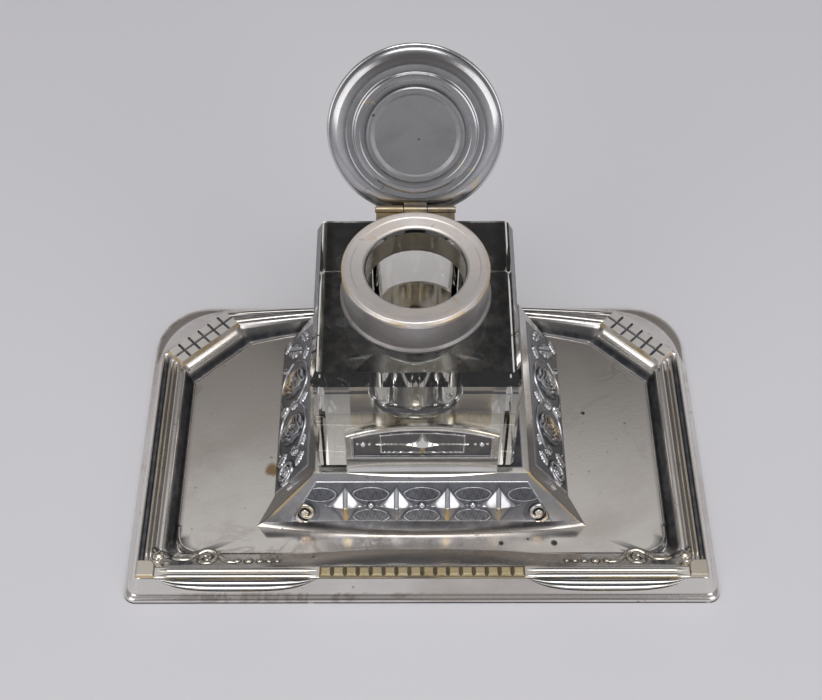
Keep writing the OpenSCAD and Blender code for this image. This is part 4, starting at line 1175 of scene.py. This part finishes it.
def roseHeights(x, y):
    z = .3 + .05 * np.sin(x * 4.3) * np.sin(y * 5.1)
    dark = np.full(x.shape, .68)
    worn = np.zeros(x.shape)
    for points in roseStems:
        line = ridge(nearest(x, y, spline(points, 90)), .45)
        z = np.maximum(z, .25 + .7 * line)
        dark = np.where(line > .3, .35, dark)
    for at, turn, long, wide in roseLeaves:
        height, edge, vein = leafField(x, y, at, turn, long, wide)
        z = np.maximum(z, .25 + height)
        dark = np.where(edge > .08, .15 + .7 * vein, np.where(edge > -.15, np.maximum(dark, .9), dark))
    for ax, ay in roses["at"]:
        height, shade, r = roseField(x - ax, y - ay)
        z = np.where(r < 1.1, .25 + height, z)
        dark = np.where(r < 1, shade, np.where(r < 1.06, .9, dark))
        worn = np.where(r < .8, .8 * (1 - shade), worn)
    cx, cy, radius, turns, width = roses["volute"]
    dx, dy = x - cx, (y - cy) * .78
    near = np.hypot(dx, dy) < radius + width
    coil = voluteField(dx, dy, radius, turns, width, 200, 1)
    z = np.where(near, .25 + 1.1 * coil, z)
    dark = np.where(near, .9 - .85 * smooth(coil, .3, .7), dark)
    edge = np.minimum.reduce([x - roses["from"], roses["to"] - x, y - roses["low"], roses["high"] - y])
    return z * smooth(edge, -.02, .4) + .02, dark * smooth(edge, 0, .6), worn


def makeRoseBand(sign, name, node):
    x, y = np.meshgrid(np.linspace(roses["from"], roses["to"], 520),
        np.linspace(roses["low"], roses["high"], 190), indexing="ij")
    z, dark, worn = roseHeights(x, y)
    tilt = math.atan2(plinth["top"] - tray["floorHeight"], plinth["footHalf"] - plinth["topHalf"])
    origin = (plinth["footHalf"], 0, tray["floorHeight"])
    up = (-math.cos(tilt), 0, math.sin(tilt))
    top = placeField(x, y, z, origin, (0, 1, 0), up)
    base = placeField(x, y, np.full_like(z, -.3), origin, (0, 1, 0), up)
    shell = slabShell(top, base)
    makePiece(name, handed(shell, sign), silverDark, "stand", [node], 35,
        patinaAndShade=dark, worn=worn)


makeStarBand()
makeRoseBand(1, "rightRoseRelief", "right_rose_band")
makeRoseBand(-1, "leftRoseRelief", "left_rose_band")
print("plinth and relief made")

# galleries
gallery = {"half": 26.4, "height": 21.2, "rise": 6.4, "thick": 1.3, "cove": 7.0, "coveOut": 1.4}
galleryFront = topFront + gallery["coveOut"]


def galleryTop(x):
    return gallery["height"] + bow(x, gallery["half"], gallery["rise"])


def galleryHeights(x, y):
    # x across, y up from the plinth's top, height out of the plate's face
    topLine = galleryTop(x)
    edge = np.minimum(topLine - y, gallery["half"] - np.abs(x))
    panel = np.minimum.reduce([topLine - 2.5 - y, 23.6 - np.abs(x), y - 8.4])
    z = .2 * ridge(panel + .5, .45) - .6 * smooth(panel, 0, .3)
    dark = .85 * smooth(panel, 0, .25)
    dark = np.maximum(dark, .9 * ridge(panel - .1, .25))
    inner = np.minimum.reduce([topLine - 4.6 - y, 14.3 - np.abs(x), y - 10.8])
    z = np.where(panel > .3, -.6 + .5 * ridge(inner, .4) - .15 * smooth(inner, .2, .5), z)
    dark = np.where(np.abs(inner) < .3, .1, dark)
    u, v = np.abs(x) / 16.0, np.abs(y - 15.9)
    long = np.where(u < 1, .35 + 2.6 * np.clip(1 - u * 4.2, 0, 1) ** 1.2, 0)
    long = long + 4.6 * np.clip(1 - u * 7.5, 0, 1) ** 1.4
    long = long * np.clip(1.1 - u, 0, 1) ** .3
    inside = np.where(u < 1, 1 - v / np.maximum(long, .05), -1)
    star = np.clip(inside, 0, 1) * (.5 + 1.2 * np.clip(1 - u * 2.5, 0, 1))
    z = np.where(inside > 0, -.5 + star, z)
    # painted shade: the star's lower half darker than its upper half
    dark = np.where(inside > 0, np.where(y > 15.9, 0, .5), dark)
    worn = np.where((inside > 0) & (np.abs(x) < .7) & (y < 16.2), .9, 0)
    for s in (-1, 1):
        for place, size in ((20.4, 1.05), (18.2, .6), (22.3, .5)):
            bead = ridge(np.hypot(x - s * place, y - 15.9), size)
            z = np.maximum(z, -.6 + 1.1 * size * bead)
            dark = np.where(bead > .2, .1, dark)
    foot = np.clip((gallery["cove"] - y) / gallery["cove"], 0, 1)
    swell = gallery["coveOut"] + 1.6 * (1 - (x / gallery["half"]) ** 2)
    z = z + swell * (1 - np.sqrt(np.clip(1 - foot ** 2.4, 0, 1)))
    # painted shade across the cove at the plate's foot, darkest near its top
    dark = np.maximum(dark, .8 * ridge(y - 6.1, 1.3))
    dark = np.maximum(dark, .35 * ridge(y - 3.6, 1.4))
    worn = np.maximum(worn, .35 * (1 - smooth(topLine - y, .5, 1.0)))
    return z - .35 * (1 - smooth(edge, 0, .4)), dark, worn


def makeGallery(name, node, rear=False):
    u = np.linspace(-gallery["half"], gallery["half"], 360)
    x = np.broadcast_to(u[:, None], (360, 190))
    y = np.linspace(0, 1, 190)[None, :] * galleryTop(u)[:, None]
    z, dark, worn = galleryHeights(x, y)
    origin = (0, galleryFront, plinth["top"])
    top = placeField(x, y, z, origin, (1, 0, 0), (0, 0, 1))
    base = placeField(x, y, np.full_like(z, -gallery["thick"]), origin, (1, 0, 0), (0, 0, 1))
    shell = slabShell(top, base)
    if rear:
        turned = shell[0] * np.array([1, -1, 1]) + np.array([0, 2 * plinth["middleY"], 0])
        shell = flipped((turned, shell[1]))
    makePiece(name, shell, silverPlate, "stand", [node], 30, patinaAndShade=dark, worn=worn)


makeGallery("frontGallery", "front_gallery")
makeGallery("rearGallery", "rear_gallery", True)

# inkwell: glass block, cement, collar and hinge
well = {
    "x": -2.3,
    "y": 8.8,
    "base": 27.6,
    "half": 34.5,
    "height": 53.6,
    "chamfer": 1.1,
    "bevelIn": 1.9,
    "bevelDown": 5.5,
    "neck": 21.3,
    "neckTop": 94.0,
    "bore": 16.6,
    "depth": 44.0,
}


def octagonLoop(half, cut):
    # eight straight edges, each with its own even points, so the corners stay crisp
    corners = []
    for k in range(4):
        c, s = round(math.cos(k * math.pi / 2)), round(math.sin(k * math.pi / 2))
        corners += [(c * half + s * (half - cut), s * half - c * (half - cut)),
            (c * half - s * (half - cut), s * half + c * (half - cut))]
    out = []
    for k in range(8):
        a, b = np.array(corners[k], float), np.array(corners[(k + 1) % 8], float)
        steps = 44 if k % 2 == 0 else 4
        out += [a + (b - a) * i / steps for i in range(steps)]
    return np.array(out)


def makeGlass():
    half, cut, glassTop = well["half"], well["chamfer"], well["base"] + well["height"]
    turn = np.arctan2(*octagonLoop(half, cut).T[::-1])

    def circle(r):
        return np.stack([r * np.cos(turn), r * np.sin(turn)], 1)

    wellBottom = glassTop - well["depth"]
    ballZ = wellBottom + well["bore"]
    rings = [level(octagonLoop(reach, cut), z) for reach, z in (
        (half - .3, well["base"] + .02), (half, well["base"] + .32), (half, glassTop - well["bevelDown"]),
        (half - well["bevelIn"], glassTop))]
    neck, neckTop, bore = well["neck"], well["neckTop"], well["bore"]
    rings += [level(circle(r), z) for r, z in (
        (22.4, glassTop), (21.6, glassTop + .25), (neck, glassTop + .8), (neck, neckTop - .6),
        (neck - .6, neckTop),
        (bore + .8, neckTop), (bore, neckTop - .8), (bore, 80.0), (bore, 65.0), (bore, ballZ))]
    for climb in np.radians(np.linspace(6, 86, 18)):
        rings.append(level(circle(bore * math.cos(climb)), ballZ - bore * math.sin(climb)))
    points, faces = ringShell(np.stack(rings))
    points[-1] = (0, 0, wellBottom)
    shell = (points + np.array([well["x"], well["y"], 0]), faces)
    makePiece("glassBlock", shell, clearGlass, "inkwell", ["glass_block"], 9)


# collar section: radius, height and how round the corner is
collar = (
    (25.4, 81.2, .15), (25.4, 82.2, .35), (24.95, 82.7, .2), (24.6, 83.2, .3), (24.5, 84.4, .5),
    (24.35, 92.6, .6), (24.5, 93.6, .5), (24.5, 94.9, .6), (23.6, 95.6, .5), (21.5, 95.55, .5),
    (21.2, 95.35, .2), (17.7, 95.3, .4), (17.0, 94.9, .3), (17.0, 94.2, .1), (23.4, 94.2, .3),
    (23.4, 81.2, .1))


def makeCollar():
    points, faces = latheShell(rounded(collar, .3))
    r, z = np.hypot(points[:, 0], points[:, 1]), points[:, 2]
    worn = .9 * (r > 24.1) * smooth(z, 93.6, 94.2) * (1 - smooth(z, 95.0, 95.4))
    dark = .7 * (r > 24) * (1 - smooth(z, 82.4, 83.6)) + .25 * (r < 17.6)
    # painted shade on the collar's outer side below the worn band
    dark = np.maximum(dark, .5 * (r > 24.2) * (z < 93))
    shell = (points + np.array([well["x"], well["y"], 0]), faces)
    makePiece("collarShell", shell, collarSilver, "inkwell", ["collar"], 40,
        patinaAndShade=dark, worn=worn)


def paintNode(node, material, bevel=0.00012):
    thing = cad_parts[node]
    if not thing.material_slots:
        thing.data.materials.append(material)
    for place in thing.material_slots:
        place.material = material
    if bevel:
        soft = thing.modifiers.new("softEdges", "BEVEL")
        soft.width = bevel
        soft.segments = 2
        soft.limit_method = "ANGLE"
        soft.angle_limit = math.radians(40)


makeGlass()
makeCollar()
paintNode("collar_cement", cementPlaster, 0)
paintNode("hinge_leaf", hingeSilver)
paintNode("hinge_pin", hingeBrass, 0.00008)
paintNode("lid_knuckle", hingeSilver)

# lid: drawn closed about its own axis, then set on the hinge and turned open
lid = {
    "open": 117.0,
    "hinge": (-2.3, 34.8, 94.2),
    "offset": 26.0,
    "seat": 1.6,
    "radius": 29.7,
    "pan": ((16.5, .05), (18.4, .05), (18.7, -.1), (20.0, -.1), (20.5, .1), (20.7, .5), (20.75, 1.1),
        (21.2, 1.25), (22.9, 1.2), (23.3, 1.05), (23.8, 1.1)),
    "panBack": ((20.0, 2.0), (19.6, .85), (16.5, .8)),
    "panShade": ((16.5, .8), (17, .5), (20, .4), (20.6, .1), (20.9, .1), (21.2, .6), (23, .5), (23.6, .8),
        (24.4, .3), (26, .1), (28, .35), (28.9, .7)),
    "disc": ((.5, -1.15), (13.6, -1.15, .4), (14.2, -1.45, .3), (14.9, -1.7, .3), (16.0, -1.7, .3),
        (16.5, -1.3, .3), (16.5, .75, .1), (.5, .75)),
    "domeInside": ((.01, 8.5), (10, 8.2), (20, 6.9), (25, 5.2), (26.5, 4.2)),
}


def lidPlace(shell):
    points = np.asarray(shell[0], float) + np.array([0, -lid["offset"], lid["seat"]])
    turn = math.radians(-lid["open"])
    c, s = math.cos(turn), math.sin(turn)
    y, z = points[:, 1] * c - points[:, 2] * s, points[:, 1] * s + points[:, 2] * c
    return np.stack([points[:, 0], y, z], 1) + np.array(lid["hinge"]), shell[1]


def makeLid():
    quarter = np.radians(np.arange(0, 91, 9))
    flare = [(23.8 + 5.1 * math.sin(w), 1.2 + 2.0 * (1 - math.cos(w))) for w in quarter]
    pan = list(lid["pan"]) + [(r, z - .05) for r, z in flare[1:]]
    back = [(r, z + .8) for r, z in flare[::-1]] + list(lid["panBack"])
    points, faces = latheShell(rounded(pan + back, .15, 3))
    dark = np.interp(np.hypot(points[:, 0], points[:, 1]), *zip(*lid["panShade"]))
    shell = lidPlace((points, faces))
    makePiece("lidPan", shell, lidSilver, "lid", ["lid_pan"], 40, patinaAndShade=dark)
    shell = lidPlace(latheShell(rounded(lid["disc"], .2, 4, closed=False), closed=False))
    makePiece("lidDisc", shell, lidDiscMetal, "lid", ["lid_disc"], 40)
    rim = lid["radius"] - .82
    bead = [(rim + .8 * math.cos(w), 4.0 + .8 * math.sin(w)) for w in np.radians(np.arange(-90, 100, 12))]
    crown = [(rim * .88 * math.cos(w), 5.75 + 3.6 * math.sin(w)) for w in np.radians(np.arange(8, 88, 6))]
    shoulder = [(rim * .975, 5.0), (rim * .94, 5.25), (rim * .90, 5.7)]
    shell = latheShell(bead + shoulder + crown + [(.01, 9.4)] + list(lid["domeInside"]))
    makePiece("lidDome", lidPlace(shell), lidSilver, "lid", ["lid_dome"], 40)


makeLid()
print("inkwell and lid made")

# floor and light
stage = {"floor": (0.735, 0.73, 0.765), "reach": 4.0}


def makeFloor():
    reach = stage["reach"]
    corners = [(-reach, -reach, 0), (reach, -reach, 0), (reach, reach, 0), (-reach, reach, 0)]
    mesh = bpy.data.meshes.new("studioFloor")
    mesh.from_pydata(corners, [], [(0, 1, 2, 3)])
    floor = bpy.data.objects.new("studioFloor", mesh)
    bpy.context.scene.collection.objects.link(floor)
    material, t, shader = newMaterial("paleFloor")
    dimmer = tuple(c * .985 for c in stage["floor"])
    t.link(t.mix(t.noise(3.0, 2.0), (*stage["floor"], 1), (*dimmer, 1)), shader.inputs["Base Color"])
    shader.inputs["Roughness"].default_value = 0.6
    shader.inputs["Specular IOR Level"].default_value = 0.15
    mesh.materials.append(material)


def areaLamp(name, at, size, radiance):
    data = bpy.data.lights.new(name, "AREA")
    data.shape = "RECTANGLE"
    data.size, data.size_y = size
    data.energy = radiance * math.pi * size[0] * size[1]
    lamp = bpy.data.objects.new(name, data)
    bpy.context.scene.collection.objects.link(lamp)
    lamp.location = at
    aim = Vector((0, 0, 0.02))
    lamp.rotation_euler = (aim - Vector(at)).to_track_quat("-Z", "Y").to_euler()


def makeWorld():
    world = bpy.data.worlds.new("studioWorld")
    bpy.context.scene.world = world
    world.use_nodes = True
    t = NodeTree(world.node_tree)
    direction = t.add("TexCoord").outputs["Generated"]
    parts = t.add("SeparateXYZ")
    t.link(direction, parts.inputs[0])
    x, y, z = parts.outputs

    def lobe(toward, outer, inner):
        dot = t.add("VectorMath", operation="DOT_PRODUCT")
        t.link(direction, dot.inputs[0])
        dot.inputs[1].default_value = Vector(toward).normalized()
        return t.ramp(dot.outputs["Value"], outer, inner)

    sky = t.mix(t.ramp(z, 0.05, 0.4), (0.62, 0.62, 0.64, 1), (0.30, 0.295, 0.30, 1))
    sky = t.mix(lobe((0, 0.25, 0.95), 0.80, 0.95), sky, (0.60, 0.59, 0.58, 1))
    behind = t.math("MULTIPLY", t.ramp(y, 0.25, 0.45), t.ramp(z, 0.86, 0.79))
    behind = t.math("MULTIPLY", behind, t.ramp(z, 0.15, 0.35))
    sky = t.mix(behind, sky, (0.21, 0.20, 0.195, 1))
    frontShade = t.math("MULTIPLY", t.ramp(t.math("ABSOLUTE", x), 0.4, 0.2), t.ramp(y, -0.45, -0.62))
    frontShade = t.math("MULTIPLY", frontShade, t.ramp(z, 0.26, 0.4))
    frontShade = t.math("MULTIPLY", frontShade, t.ramp(z, 0.82, 0.72))
    rearShade = t.math("MULTIPLY", behind, t.ramp(t.math("ABSOLUTE", x), 0.24, 0.14))
    sky = t.mix(rearShade, sky, (0.06, 0.055, 0.05, 1))
    sky = t.mix(frontShade, sky, (0.14, 0.13, 0.13, 1))
    background = world.node_tree.nodes["Background"]
    t.link(sky, background.inputs["Color"])
    background.inputs["Strength"].default_value = 1.0


makeFloor()
areaLamp("keyLamp", (0, -0.1, 1.3), (0.9, 0.6), 3.4)
areaLamp("leftLamp", (-0.62, -0.68, 0.56), (0.6, 0.62), 1.45)
areaLamp("rightLamp", (0.64, -0.68, 0.56), (0.6, 0.62), 1.45)
makeWorld()
bpy.context.scene.view_settings.view_transform = "Standard"
